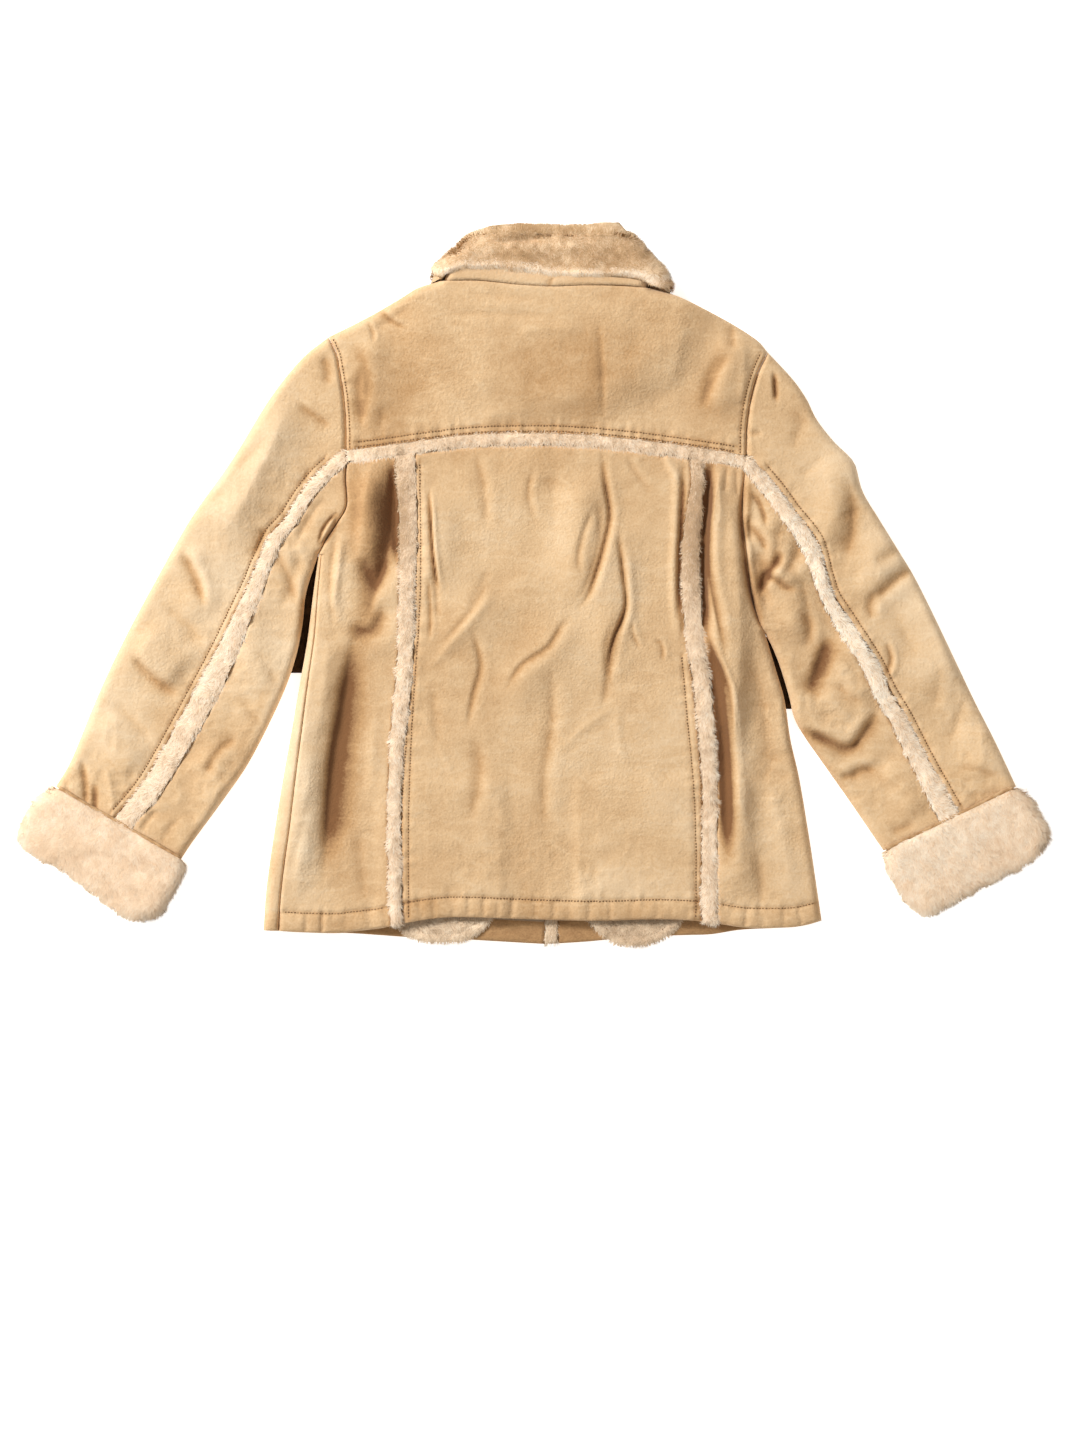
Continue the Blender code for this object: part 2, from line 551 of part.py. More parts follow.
def yoke_stations():
    """The x of every place along the yoke seam where the pieces on it turn, from left to right."""
    return np.concatenate([left[-1, 0] + (right[-1, 0] - left[-1, 0]) * across_shares(name)
                           for name, (left, right) in back_edges().items()])


def row_across(line, start, end, shares, drop=0.0):
    """A row of points under a line that crosses the garment, met at both ends by the edges given."""
    x = start[0] + (end[0] - start[0]) * shares
    y = y_on(line, x) - drop
    lean = np.clip(1 - shares / 0.12, 0, 1) * (start[1] - y[0])
    lean += np.clip(1 - (1 - shares) / 0.12, 0, 1) * (end[1] - y[-1])
    return np.column_stack([x, y + lean])


def back_panels():
    """The centre back and the two side backs. The right one folds round to mid-height at its side edge."""
    for name, (left, right) in back_edges().items():
        shares = across_shares(name)
        bottom = row_across(HEM_LINE, left[0], right[0], shares)
        top = row_across(YOKE_LINE, left[-1], right[-1], shares, YOKE_STRIP_HALF + SEAM)
        plan = coons(bottom, top, left, right)
        folds_at = [(BODY[name]["side"], BODY[name]["inwards"])] if name in BODY else []
        outer, inner = upper_wall(plan, folds_at, HEM_LINE, SEAM / 2)
        wall("back_centre" if name == "centre" else f"back_side_{name}", outer, inner, SUEDE)
    for name in BODY:
        middle, _ = strip_edges(name)
        strip(f"back_strip_{name}", strip_side(name, -1), strip_side(name, 1),
              laid_height(middle) + lift(middle))


def yoke():
    """The yoke, from the shoulders and the neckline down to the pile strip on its seam, and that strip."""
    left, right = BODY["left"], BODY["right"]
    left_edge = armhole_points("left", "upper_steps", "body")[::-1]
    right_edge = armhole_points("right", "upper_steps", "body")[::-1]
    top = np.vstack([
        at_length(left["shoulder"], left["shoulder_steps"]),
        NECK_STATIONS[1:-1],
        at_length(right["shoulder"], right["shoulder_steps"])[::-1],
    ])
    x = yoke_stations()
    top[0], top[-1] = left_edge[-1], right_edge[-1]
    x[0], x[-1] = left_edge[0, 0], right_edge[0, 0]
    bottom = np.column_stack([x, y_on(YOKE_LINE, x) + YOKE_STRIP_HALF])
    bottom[0], bottom[-1] = left_edge[0], right_edge[0]
    plan = coons(bottom, top, left_edge, right_edge)
    outer, inner = upper_wall(plan, [(left["shoulder"], -1.0), (right["shoulder"], 1.0)], half_seam=SEAM / 2)
    wall("back_yoke", outer, inner, SUEDE)
    x[0], x[-1] = x[0] + SEAM, x[-1] - SEAM
    middle = np.column_stack([x, y_on(YOKE_LINE, x)])
    reach = np.array([0, YOKE_STRIP_HALF - SEAM])
    strip("yoke_strip", middle + reach, middle - reach + (0, SEAM), laid_height(middle) + lift(middle))


# ---------------------------------------------------------------- the fronts, underneath

def front_panel(name):
    """One front, flat on the surface. The left one wraps round its side edge to a seam on the upper side."""
    body, sign = BODY[name], BODY[name]["inwards"]
    lower = body_edge(name)
    edge = np.vstack([lower, armhole_points(name, "upper_steps", "body")[::-1]])
    neck = FRONT_NECK_STATIONS[name].copy()
    middle_x = CENTRE_FRONT - sign * (CENTRE_STRIP_HALF + SEAM)
    neck[-1] = middle_x, np.interp(sign * middle_x, sign * neck[:, 0], neck[:, 1])
    share = (edge[:, 1] - edge[0, 1]) / (edge[-1, 1] - edge[0, 1])
    low = y_on(FRONT_HEM_LINE, middle_x)
    middle = np.column_stack([np.full(len(edge), middle_x), low + share * (neck[-1, 1] - low)])
    width = abs(edge[0, 0] - middle_x)
    across = steps(width, COLUMNS_FRONT, round_start=True)
    hem = row_across(FRONT_HEM_LINE, edge[0], middle[0], across / width)
    top = np.vstack([at_length(body["shoulder"], body["shoulder_steps"]), neck[1:]])
    top[0] = edge[-1]
    plan = coons(hem, top, edge, middle)
    folds_at = [(body["side"], sign), (body["shoulder"], -sign)]
    outer, inner = lower_wall(plan, folds_at, FRONT_HEM_LINE, SEAM / 2)
    cells = np.ones((len(edge) - 1, plan.shape[1] - 1), bool)
    if name == "left":
        outer, inner, cells = wrap_round(outer, inner, cells, edge, len(body["side_steps"]))
    wall(f"front_{name}", outer, inner, SUEDE, cells)


def wrap_round(outer, inner, cells, edge, rows_below):
    """Adds the columns that carry the left front round its folded edge, on the rows below the armhole."""
    wide = np.interp(edge[:, 1], SIDE_SEAM["y"], SIDE_SEAM["in_from_edge"])[:, None]
    plan = edge[:, None] + np.stack([wide * (1.0, 0.66, 0.33, 0.1), np.zeros((len(edge), 4))], axis=-1)
    top, under = upper_wall(plan, [(BODY["left"]["side"], 1.0)], HEM_LINE)
    more = np.zeros((cells.shape[0], 4), bool)
    more[:rows_below - 1] = True
    return (np.concatenate([top, outer], axis=1), np.concatenate([under, inner], axis=1),
            np.concatenate([more, cells], axis=1))


def centre_strip():
    """The pile edge down the centre front, between the two fronts."""
    heights = np.linspace(y_on(FRONT_HEM_LINE, CENTRE_FRONT), FRONT_NECK_LEFT["y"][-1] - SEAM, 19)
    middle = np.column_stack([np.full(19, CENTRE_FRONT), heights])
    reach = np.array([CENTRE_STRIP_HALF, 0])
    strip("front_edge_strip", middle - reach, middle + reach, PRESSED_WALL + lift(middle), PRESSED_WALL,
          FRONT_STRIP_RISE)


def bag_outline(bag):
    """A pocket bag's outline: straight sides and top, and a bottom with two round corners."""
    half, radius = bag["width"] / 2 - BAG_ROUND, bag["round"]
    turn = np.linspace(0, math.pi / 2, 8)
    right_low = np.column_stack([half - radius + radius * np.sin(turn), radius - radius * np.cos(turn)])
    left_low = right_low[::-1] * np.array([-1, 1])
    corners = [[half, bag["height"]], [-half, bag["height"]]]
    return np.vstack([left_low, right_low[1:], corners]) + (bag["centre_x"], bag["bottom_y"] + BAG_ROUND)


def pocket_bags():
    """The two pocket bags inside the fronts: flat bags with round bottoms that hang below the back hem."""
    for k, name in enumerate(("left", "right")):
        outline = bag_outline({column: values[k] for column, values in POCKET_BAGS.items()})
        curve = bpy.data.curves.new(f"pocket_bag_{name}", "CURVE")
        curve.dimensions, curve.fill_mode = "2D", "BOTH"
        curve.extrude, curve.bevel_depth = (BAG_THICK / 2 - BAG_ROUND) * MM, BAG_ROUND * MM
        curve.bevel_resolution = 1
        spline = curve.splines.new("POLY")
        spline.points.add(len(outline) - 1)
        spline.use_cyclic_u = True
        for point, (x, y) in zip(spline.points, outline):
            point.co = (x * MM, y * MM, 0, 1)
        finish_mesh(f"pocket_bag_{name}", solid_of(curve, PRESSED_WALL + SEAM + BAG_THICK / 2), BAG_PILE)


def solid_of(curve, height):
    """The mesh of a filled curve that lies at this height, with its caps welded on."""
    made = bpy.data.objects.new("outline", curve)
    bpy.data.collections["jacket"].objects.link(made)
    made.location.z = height * MM
    bpy.context.view_layer.update()
    mesh = bpy.data.meshes.new_from_object(made.evaluated_get(bpy.context.evaluated_depsgraph_get()))
    mesh.transform(made.matrix_world)
    bpy.data.objects.remove(made)
    work = bmesh.new()
    work.from_mesh(mesh)
    bmesh.ops.remove_doubles(work, verts=work.verts, dist=0.01 * MM)
    work.to_mesh(mesh)
    work.free()
    return mesh


# ---------------------------------------------------------------- the sleeves

def sleeve_lines(name):
    """The rows of one sleeve: its folded edges, the edges of its pile strip and the seam hidden under that.
    The first rows end on the lower armhole, and the others on the folded edge below the underarm."""
    lines, body = SLEEVE[name], BODY[name]
    outer_edge, inner_edge = smooth_line(lines["outer"]), smooth_line(lines["inner"])
    armhole_top = armhole_points(name, "upper_steps", "sleeve")
    armhole_low = armhole_points(name, "lower_steps", "sleeve")
    spine = smooth_line(lines["strip"])
    opposite = np.linalg.norm(spine - armhole_low[-1], axis=1).argmin() / 300
    armhole_share = (body["lower_steps"] - body["lower_steps"][0]) / np.ptp(body["lower_steps"])
    even = np.linspace(0, 1, ROWS_SLEEVE)[1:]
    fractions = np.concatenate([opposite * armhole_share, opposite + (1 - opposite) * even])
    middle = at_fraction(spine, fractions)
    half = np.interp(-middle[:, 1], -lines["strip"]["y"], lines["strip"]["half_width"])[:, None]
    side = normals(spine)[np.round(fractions * 300).astype(int)] * lines["sign"]
    cuff = np.vstack([outer_edge[-1], inner_edge[-1]])
    side[-1] = (cuff[1] - cuff[0]) / np.linalg.norm(cuff[1] - cuff[0])
    top_seam, low_seam = middle - side * (half + SEAM), middle + side * (half + SEAM)
    top_seam[0], low_seam[0] = armhole_top[-1], armhole_low[0]
    hidden = (armhole_top[-1] + armhole_low[0]) / 2
    under_upper, under_low = middle - side * SEAM / 2, middle + side * SEAM / 2
    way = (armhole_low[0] - armhole_top[-1]) / np.linalg.norm(armhole_low[0] - armhole_top[-1])
    under_upper[0], under_low[0] = hidden - way * SEAM / 2, hidden + way * SEAM / 2
    outer_fold = at_fraction(outer_edge, fractions)
    outer_fold[0] = armhole_top[0]
    inner_fold = np.vstack([armhole_low, at_fraction(inner_edge, even)])
    return dict(top_seam=top_seam, low_seam=low_seam, under_upper=under_upper, under_low=under_low,
                outer_fold=outer_fold, inner_fold=inner_fold, armhole_top=armhole_top, side=side,
                outer_edge=outer_edge, inner_edge=inner_edge, armhole_rows=len(armhole_low), middle=middle)


def sleeve(name):
    """One sleeve: an upper and an under sleeve, each wrapped round its folded edge, and the pile strip on
    the seam between them."""
    rows, sign = sleeve_lines(name), SLEEVE[name]["sign"]
    first = rows["armhole_top"]
    on_top = sleeve_plan(first, rows["outer_fold"], rows["top_seam"])
    below = sleeve_plan(np.vstack([first, rows["under_upper"][:1]]), rows["outer_fold"], rows["under_upper"])
    sleeve_wall(f"sleeve_upper_{name}", on_top, below, [(rows["outer_edge"], sign)], 0)

    seam = rows["low_seam"].copy()
    seam[0] += 0.2 * (seam[1] - seam[0])
    on_top, below = (sleeve_plan(np.linspace(rows["inner_fold"][0], line[0], 7), rows["inner_fold"], line)
                     for line in (seam, rows["under_low"]))
    sleeve_wall(f"sleeve_under_{name}", on_top, below, [(rows["inner_edge"], -sign)],
                rows["armhole_rows"] - 1)

    edge_a, edge_b = rows["top_seam"] + rows["side"] * SEAM, rows["low_seam"] - rows["side"] * SEAM
    edge_a[0], edge_b[0] = rows["top_seam"][0] - (0, SEAM), rows["low_seam"][0] + (0, SEAM)
    strip(f"sleeve_strip_{name}", edge_a, edge_b, laid_height(rows["middle"]) + lift(rows["middle"]))


def sleeve_plan(first, fold, seam):
    """The plan of one layer of a sleeve piece, whose columns run from its folded edge to its seam."""
    shares = steps(np.linalg.norm(seam[-1] - fold[-1]), len(first) - 3, round_start=True)
    last = fold[-1] + (seam[-1] - fold[-1]) * (shares / shares[-1])[:, None]
    return coons(first, last, fold, seam)


def sleeve_wall(name, on_top, below, folds_at, rows_on_armhole):
    """Joins the two layers of a sleeve piece at its folded edge. Rows that end on the armhole stay apart."""
    outer_top, inner_top = upper_wall(on_top, folds_at)
    outer_low, inner_low = lower_wall(below, folds_at)
    outer_low[rows_on_armhole:, 0] = outer_top[rows_on_armhole:, 0]
    inner_low[rows_on_armhole:, 0] = inner_top[rows_on_armhole:, 0]
    outer = np.concatenate([outer_low[:, ::-1], outer_top], axis=1)
    inner = np.concatenate([inner_low[:, ::-1], inner_top], axis=1)
    cells = np.ones((outer.shape[0] - 1, outer.shape[1] - 1), bool)
    cells[:, below.shape[1] - 1] = False
    wall(name, outer, inner, SUEDE, cells)


def cuff(name):
    """One turned-back pile cuff: a flattened ring round the sleeve's end, with rounded edges and end."""
    lines, sign = SLEEVE[name]["cuff"], SLEEVE[name]["sign"]
    outer_side, inner_side = smooth_line(lines["outer"]), smooth_line(lines["inner"])
    mouth, end = smooth_line(lines["mouth"]), smooth_line(lines["end"])
    away = np.array([-sign * 0.5, -0.85]) * SEAM
    along = np.array([0, 0.12, 0.45, 0.78, 0.93, 1.0])
    first, last = (at_length(line, steps(length_along(line)[-1], COLUMNS_CUFF, True, True, CUFF_STEPS)) + away
                   for line in (mouth, end))
    plan = coons(first, last, at_fraction(outer_side, along) + away, at_fraction(inner_side, along) + away)
    folds_at = [(outer_side + away, sign), (inner_side + away, -sign)]
    distance, inward = edge_distance(plan, folds_at, CUFF_EDGE)
    up = rise(distance, CUFF_EDGE)
    ends = rise(nearest(plan, end + away)[0], CUFF_END)
    ends *= rise(nearest(plan, mouth + away)[0] + CUFF_MOUTH / 3, CUFF_MOUTH)
    half = CUFF_HEIGHT / 2
    hollow = plan + inward * (CUFF_WALL * np.clip(1 - distance / CUFF_EDGE, 0, 1))[..., None]
    layers = [(stacked(plan, half + way * half * (0.5 + 0.5 * ends) * up),
               stacked(hollow, half + way * FLAT_GAP * up)) for way in (1, -1)]
    outer, inner = (np.concatenate([top, low[:, ::-1]], axis=1) for top, low in zip(*layers))
    wall(f"cuff_{name}", outer, inner, CUFF_PILE)


# ---------------------------------------------------------------- the collar

def collar_band(name, sides, back_low, fronts_low, high, rows, sizes, finish):
    """A band that runs from the centre front round the neck and back to it, folded flat: an upper layer at
    the back of the neck, and a lower one in two halves at the front. rows hold its profile, and sizes its
    middle level, half height, upper and lower wall, and the radius of its folded sides."""
    middle, half, upper_thick, lower_thick, radius = sizes
    folds_at = [(sides[0], -1.0), (sides[1], 1.0)]
    side_rows = [at_fraction(side, rows["share"]) for side in sides]
    top_plan = coons(*level_columns(back_low, high, radius, True), *side_rows)
    back = collar_layer(top_plan, folds_at, middle, rows["upper"] * half, rows["inner"] * (half - upper_thick),
                        upper_thick, radius)
    split = np.interp(CENTRE_FRONT, high[:, 0], np.linspace(0, 1, len(high)))
    fronts = []
    for k, way in ((0, 1), (1, -1)):
        high_half = at_fraction(high, np.linspace(k, split, 101))
        low, top = level_columns(fronts_low[k], high_half, radius, False)
        low[0], top[0] = side_rows[k][0], side_rows[k][-1]
        low[-1, 0] = top[-1, 0] = CENTRE_FRONT - way * SEAM
        share = np.interp(rows["share"], (0, 0.55, 1), (0, 0.82, 1))[:, None]
        plan = coons(low, top, side_rows[k], low[-1] + (top[-1] - low[-1]) * share)
        front = collar_layer(plan, folds_at, middle, -half * rows["lower"],
                             rows["inner"] * (lower_thick - half), upper_thick, radius)
        for grid, upper_grid in zip(front, back):
            grid[:, 0] = upper_grid[:, -k]
        fronts.append(front)
    outer, inner = (np.concatenate([left[:, :0:-1], upper, right[:, 1:]], axis=1)
                    for left, upper, right in zip(fronts[0], back, fronts[1]))
    wall(name, outer, inner, finish)


def level_columns(low, high, radius, both_ends):
    """The columns of a collar layer: those of its low edge, and as many on its high edge."""
    lengths, whole = length_along(low), length_along(high)[-1]
    far = lengths[-1] - (radius if both_ends else 0)
    shares = np.interp(lengths, (0, radius, far, lengths[-1]), (0, radius, whole - lengths[-1] + far, whole))
    return low.copy(), at_length(high, shares)


def rounded_columns(points, radius, both_ends, start=0.0):
    """A line's own corners, with the steps of a folded edge added at its first end or at both."""
    lengths = length_along(points)
    stops = [start + radius * share for share in ROUND_SHARES]
    far = [lengths[-1] - s for s in stops[::-1]] if both_ends else [lengths[-1]]
    between_them = [s for s in lengths if stops[-1] + 2 < s < far[0] - 2]
    return at_length(points, stops + between_them + far)


def collar_layer(plan, folds_at, middle, outer_level, inner_level, side_thick, radius):
    """Outer and inner points of one layer of a collar band, at these levels above its middle on each row."""
    distance, inward = edge_distance(plan, folds_at, radius)
    up = rise(distance, radius)
    inset = side_thick * np.clip(1 - distance / radius, 0, 1)
    outer = stacked(plan, middle + outer_level[:, None] * up)
    return outer, stacked(plan + inward * inset[..., None], middle + inner_level[:, None] * up)


def collar():
    """The pile collar folded over its suede stand, round the neck."""
    sides = [smooth_line(COLLAR_SIDE_LEFT), smooth_line(COLLAR_SIDE_RIGHT)]
    fall_edge = at_fraction(smooth_line(COLLAR_FALL_EDGE), np.linspace(0, 1, FALL_POINTS))
    fronts = [at_fraction(smooth_line(edge), np.linspace(0, 1, FALL_FRONT_POINTS))
              for edge in (COLLAR_FRONT_LEFT, COLLAR_FRONT_RIGHT)]
    collar_band("collar_fall", sides, rounded_columns(fall_edge, FALL_EDGE, True),
                [rounded_columns(front, FALL_EDGE, False) for front in fronts], smooth_line(COLLAR_FOLD),
                COLLAR_ROWS, (FALL_MIDDLE, FALL_HALF, FALL_WALL, FALL_PRESSED, FALL_EDGE), COLLAR_PILE)

    neck = rounded_columns(NECK_STATIONS, EDGE, True, STAND_INSET) + (0, SEAM)
    necks = [rounded_columns(FRONT_NECK_STATIONS[name], EDGE, False, STAND_INSET) for name in BODY]
    necks = [beside(line, way * SEAM) for line, way in zip(necks, (1, -1))]
    stand_sides = [beside(side, way * (FALL_WALL + COLLAR_SPREAD))[:STAND_REACH]
                   for side, way in zip(sides, (-1, 1))]
    for side, start, front in zip(stand_sides, (neck[0], neck[-1]), necks):
        front[0] = start
        side += (start - side[0]) * np.clip(1 - np.linspace(0, 1.6, len(side)), 0, 1)[:, None]
    top = stand_sides[0][-1] + (stand_sides[1][-1] - stand_sides[0][-1]) * np.linspace(0, 1, 101)[:, None]
    rows = table("share upper lower inner", *((share, 1, 1, 1) for share in (0, 0.25, 0.5, 0.75, 1)))
    thick = STAND_HALF - FLAT_GAP
    collar_band("collar_stand", stand_sides, neck, necks, top, rows,
                (STAND_MIDDLE, STAND_HALF, thick, thick, EDGE), SUEDE)


def main():
    """Clears the scene and makes every piece of the jacket."""
    for obj in list(bpy.data.objects):
        bpy.data.objects.remove(obj)
    bpy.context.scene.collection.children.link(bpy.data.collections.new("jacket"))
    yoke()
    back_panels()
    for name in ("left", "right"):
        front_panel(name)
        sleeve(name)
        cuff(name)
    centre_strip()
    pocket_bags()
    collar()


main()
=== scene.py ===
"""Faux sheepskin jacket, lying face down and flat with its back upwards: the finish of every piece.

Shapes are worked out in millimetres, x across the garment and y up it, from the seam lines below, and put
into the meshes in metres. A suede panel is a wall whose outer face is a fine grid. Pile is a soft body with
blades on it. Topstitching is small arched bars that lie on the panels.
"""

import math

import bpy
import numpy as np
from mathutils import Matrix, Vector


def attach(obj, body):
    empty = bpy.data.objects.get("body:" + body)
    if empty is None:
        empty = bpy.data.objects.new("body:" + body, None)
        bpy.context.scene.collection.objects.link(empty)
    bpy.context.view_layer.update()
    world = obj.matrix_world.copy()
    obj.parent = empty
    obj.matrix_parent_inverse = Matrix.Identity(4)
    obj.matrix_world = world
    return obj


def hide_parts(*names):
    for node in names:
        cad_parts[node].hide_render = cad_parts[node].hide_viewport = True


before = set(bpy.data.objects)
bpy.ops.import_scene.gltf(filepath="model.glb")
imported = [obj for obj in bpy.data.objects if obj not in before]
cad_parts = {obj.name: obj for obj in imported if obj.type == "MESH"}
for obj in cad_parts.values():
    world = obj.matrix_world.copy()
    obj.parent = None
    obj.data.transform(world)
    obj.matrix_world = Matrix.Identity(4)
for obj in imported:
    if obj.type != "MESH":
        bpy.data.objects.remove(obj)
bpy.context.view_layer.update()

# ---- sizes, in millimetres

MM = 0.001
LINE_POINTS = 301        # the points of a smooth line
GRID, STRIP_GRID, CUFF_GRID = 2.1, 2.6, 3.0           # the spacing of points on panels, pile strips and cuffs,
FRONT_GRID, HIDDEN_GRID = 4.5, 8                      # and underneath, on fronts and sleeves
INNER_SKIP = 4           # an inner face has every fourth row and column
FRONT_FINE_ROWS, FRONT_SKIP = 22, 3                   # a front has all rows near its hem, and then every third
PILE_WALL, PRESSED_WALL = 8.0, 6.0                    # a wall's thickness on top, and pressed underneath
LAID_HEIGHT, SAG = 17.6, 4.6                          # the top of the upper layer, and how far it may sink
EDGE = 9.0               # the radius of a folded edge
SEAM = 0.3               # the gap between two pieces
STRIP_DIP, ARMHOLE_DIP = (2.6, 3.4), (3.6, 4.0)       # how deep an edge turns down there, and over what reach
SIDE_DIP, YOKE_DIP, NECK_DIP = (2.6, 3.0), (1.6, 2.2), (1.4, 2.5)
ROUND_SHARES = (0.0, 0.035, 0.134, 0.3, 0.5, 0.74, 1.0)         # where a rounded edge has its points
HEM_STEPS = (0.0, 0.6, 1.4, 2.6, 4.2)                 # the first rows above a hem
# Where the left front has its columns from the seam round to its folded edge, as shares of the way.
WRAP_SHARES = np.array([1.0, 0.93, 0.84, 0.72, 0.6, 0.48, 0.36, 0.26, 0.17, 0.09, 0.04, 0.015])
HEM_ROLL, HEM_REACH = 3.0, 4.0                        # how far a hem is rounded off, and over what reach
HEM_TUCK, FRONT_HEM_TUCK = 1.0, 2.0                   # and so for its inner face
HEM_DEPTH, FRONT_HEM_DEPTH, HEM_SHADE = 19.5, 22.0, 0.1        # from the hem line up to its stitches, and the painted shade on the hem band
HEM_PUCKERS, PUCKER_PITCH, PUCKER_DEPTH, PUCKER_WIDTH = 40, (11, 27), (0.4, 2.6), (1.3, 3.4)
FOLD_POWER, CREASE_POWER = 2, 1.6                     # how steeply the flanks of a fold and of a crease fall
CREASE_REACH = 25        # a crease reaches no further to its sides
FOLD_TAPER, LONG_TAPER = 0.3, 0.28                    # the share of a fold's length that fades out at each end
RELIEF_LOW, RELIEF_HIGH = -7.5, 4                     # as far as the creases go
THIN_TOP, THIN_INSIDE = 7.5, 2.5                      # as low as the upper layer's two faces go
STRIP_RISE, FRONT_STRIP_RISE = 2.2, 1.6               # how far a pile strip stands above the panels
STRIP_DEPTH, STRIP_OVERLAP, STRIP_STEPS = 6.0, 0.2, (0.0, 0.5, 1.6, 3.2)  # and lies below and over them
CUFF_HEIGHT, CUFF_EDGE, CUFF_WALL = 34.0, 16.0, 15.0  # a cuff, the radius of its sides and its wall there
CUFF_END, CUFF_MOUTH = 12.0, 8.0                      # how far a cuff is rounded at its end and its mouth
CUFF_SHARES = (0, 0.03, 0.07, 0.12), (0, 0.015, 0.04, 0.08, 0.13), 0.035       # its rows from mouth to end
LIP_HALF, LIP_THICK = 1.9, 1.1                        # half the width and half the height of a cuff's edge
CUFF_LIFT, CUFF_LIFT_REACH = 8.0, 90.0                # how far a cuff lifts its sleeve, and over what reach
FALL_MIDDLE, FALL_HALF, FALL_EDGE = 18.75, 18.75, 18.0         # the collar's middle, half height and radius
FALL_WALL, FALL_PRESSED = 10.0, 7.4                   # its wall's thickness on top, and pressed underneath
STAND_MIDDLE, STAND_HALF, STAND_INSET = 17.6, 9.2, 6.0         # the stand's, and how far in it starts
STAND_REACH = 205        # as many points of a side line as the stand follows
FLAT_GAP = 1.9           # half the gap inside a piece that is folded flat
UNDERARM_TOP, UNDERARM_LOW = 2.4, 0.4                 # the heights of the dark sheet under the arms that paints the shadow there
COLLAR_LIFT, COLLAR_SPREAD = 8.4, 3.0                 # the collar's lift of both layers, and gap to its stand
LIFT_CENTRE, LIFT_OVAL, LIFT_OUT, LIFT_FADE = (17, 300), (125, 105), 1.45, 0.42  # that lift's oval
COLLAR_CENTRE, COLLAR_OVAL = np.array([17.0, 330.0]), np.array([118.0, 30.0])
BAG_THICK, BAG_LIFT = 4.0, 2.0                        # a pocket bag, and how far it lifts the back
BAG_TOP, BAG_FADE, BAG_RIM = -180, 25, 14             # where a bag's lift starts, and how it fades out
PILE_INSET = 2.6         # how far a pile body lies inside its tips
LINE_SLACK = 0.04        # a thinned line lies this close to its curve
STITCH, STITCH_PITCH, STITCH_HALF = 2.1, 3.1, 0.68    # a stitch's length, the pitch and half its width
STITCH_RISE, STITCH_SUNK, STITCH_WANDER = 0.42, -0.1, 0.12     # how high its middle and its ends lie
SEWN_DEPTH, SEWN_WIDTH, SEWN_REACH = 0.95, 1.7, 7.0   # the trough of a stitched row, and its puckers' reach
# painted shade along a stitched row's trough and its width, and the rows' spacing in the puckers' noise
SEWN_SHADE, SEWN_SHADE_WIDTH, ROW_APART = 0.15, 1.5, 40.0
YOKE_ROWS, ARMHOLE_ROWS, SLEEVE_ROWS = (2.6, 7.8), (3.4, -6.0), (1.9, 7.8)  # how far off its seam a row is

# The blades of each pile: how many there are, or how many to the square millimetre of a strip, how long and
# wide they are, and how upright they stand.
BLADES = {"strip": (1.3, 5.2, 0.5, 0.55), "yoke": (1.5, 5.4, 0.5, 0.55), "front": (0.35, 5.0, 0.5, 0.55),
          "bag": (6200, 4.2, 0.6, 0.9), "cuff": (30000, 6.6, 0.72, 0.85), "collar": (30000, 5.2, 0.66, 0.8),
          "fringe": (5200, 5.4, 0.6, 0.5)}

# The stage, in metres and watts.
FLOOR_REACH, FLOOR_LEVEL = 6.0, -0.0004
CAMERA_PLACE = (0.006, -0.135, 4.0)
KEY_PLACE, KEY_SIZE, KEY_POWER = (-3.9, 2.6, 3.3), 1.6, 390.0
FILL_PLACE, FILL_SIZE, FILL_POWER = (2.0, -2.4, 4.6), 3.0, 45.0
SKY, FLOOR_GLOW = 0.27, 0.7


def table(columns, *rows):
    """A short table: a dictionary of one array for each named column."""
    return dict(zip(columns.split(), np.array(rows, float).T))


def path(*places):
    """The places that a line goes through."""
    return table("x y", *places)


def rounded_steps(radius, start=0.0):
    """The places of the points on a rounded edge, from its fold inwards."""
    return tuple(start + radius * share for share in ROUND_SHARES)


ROUND_STEPS = rounded_steps(EDGE)

# ---- seam lines

SHOULDER_LEFT = path((-95, 301.5), (-116, 295), (-133, 285), (-169, 265), (-205, 247))
SHOULDER_RIGHT = path((118, 294), (133, 290), (148, 285), (189, 265), (221, 245), (233, 232))
NECKLINE = path((-95, 301.5), (-57, 302), (-18, 298), (16, 296), (49, 297), (85, 297), (118, 294))
ARMHOLE_LEFT = path(
    (-205, 247), (-197, 230), (-193, 210), (-189, 185), (-187, 155), (-187, 128), (-188, 105), (-187, 79),
    (-196, 62), (-206, 47), (-215, 30))
ARMHOLE_RIGHT = path(
    (233, 232), (223, 210), (216, 185), (212, 157), (211, 123), (208, 90), (208, 65), (211, 37), (216, -5),
    (222, -31), (231, -50))
SIDE_LEFT = path(
    (-215, 30), (-221, -15), (-226, -55), (-233, -95), (-240, -135), (-254, -215), (-266, -295), (-270, -345))
SIDE_RIGHT = path(
    (231, -50), (242, -87), (250, -115), (256, -155), (265, -195), (275, -255), (281, -295), (287, -335))
SIDE_SEAM = table("y in_from_edge", (-345, 15), (-240, 15), (-175, 12), (-115, 9), (-45, 6.5), (30, 3))
YOKE_SEAM = path(
    (-186, 128), (-153, 132), (-103, 139), (-63, 143.5), (-23, 145), (17, 145), (57, 143), (107, 138),
    (167, 130), (210, 123))
YOKE_STRIP_HALF, YOKE_SIDE = 5.0, 150.0
STRIP_LEFT = table(
    "x y half_width", (-128, 128, 8), (-126.5, 95, 8), (-125, 52, 7.3), (-127, -14, 6.5), (-128, -70, 6.5),
    (-133, -130, 6.5), (-137, -163, 5.5), (-139, -230, 5.3), (-138, -313, 4.6), (-137, -340, 4.6))
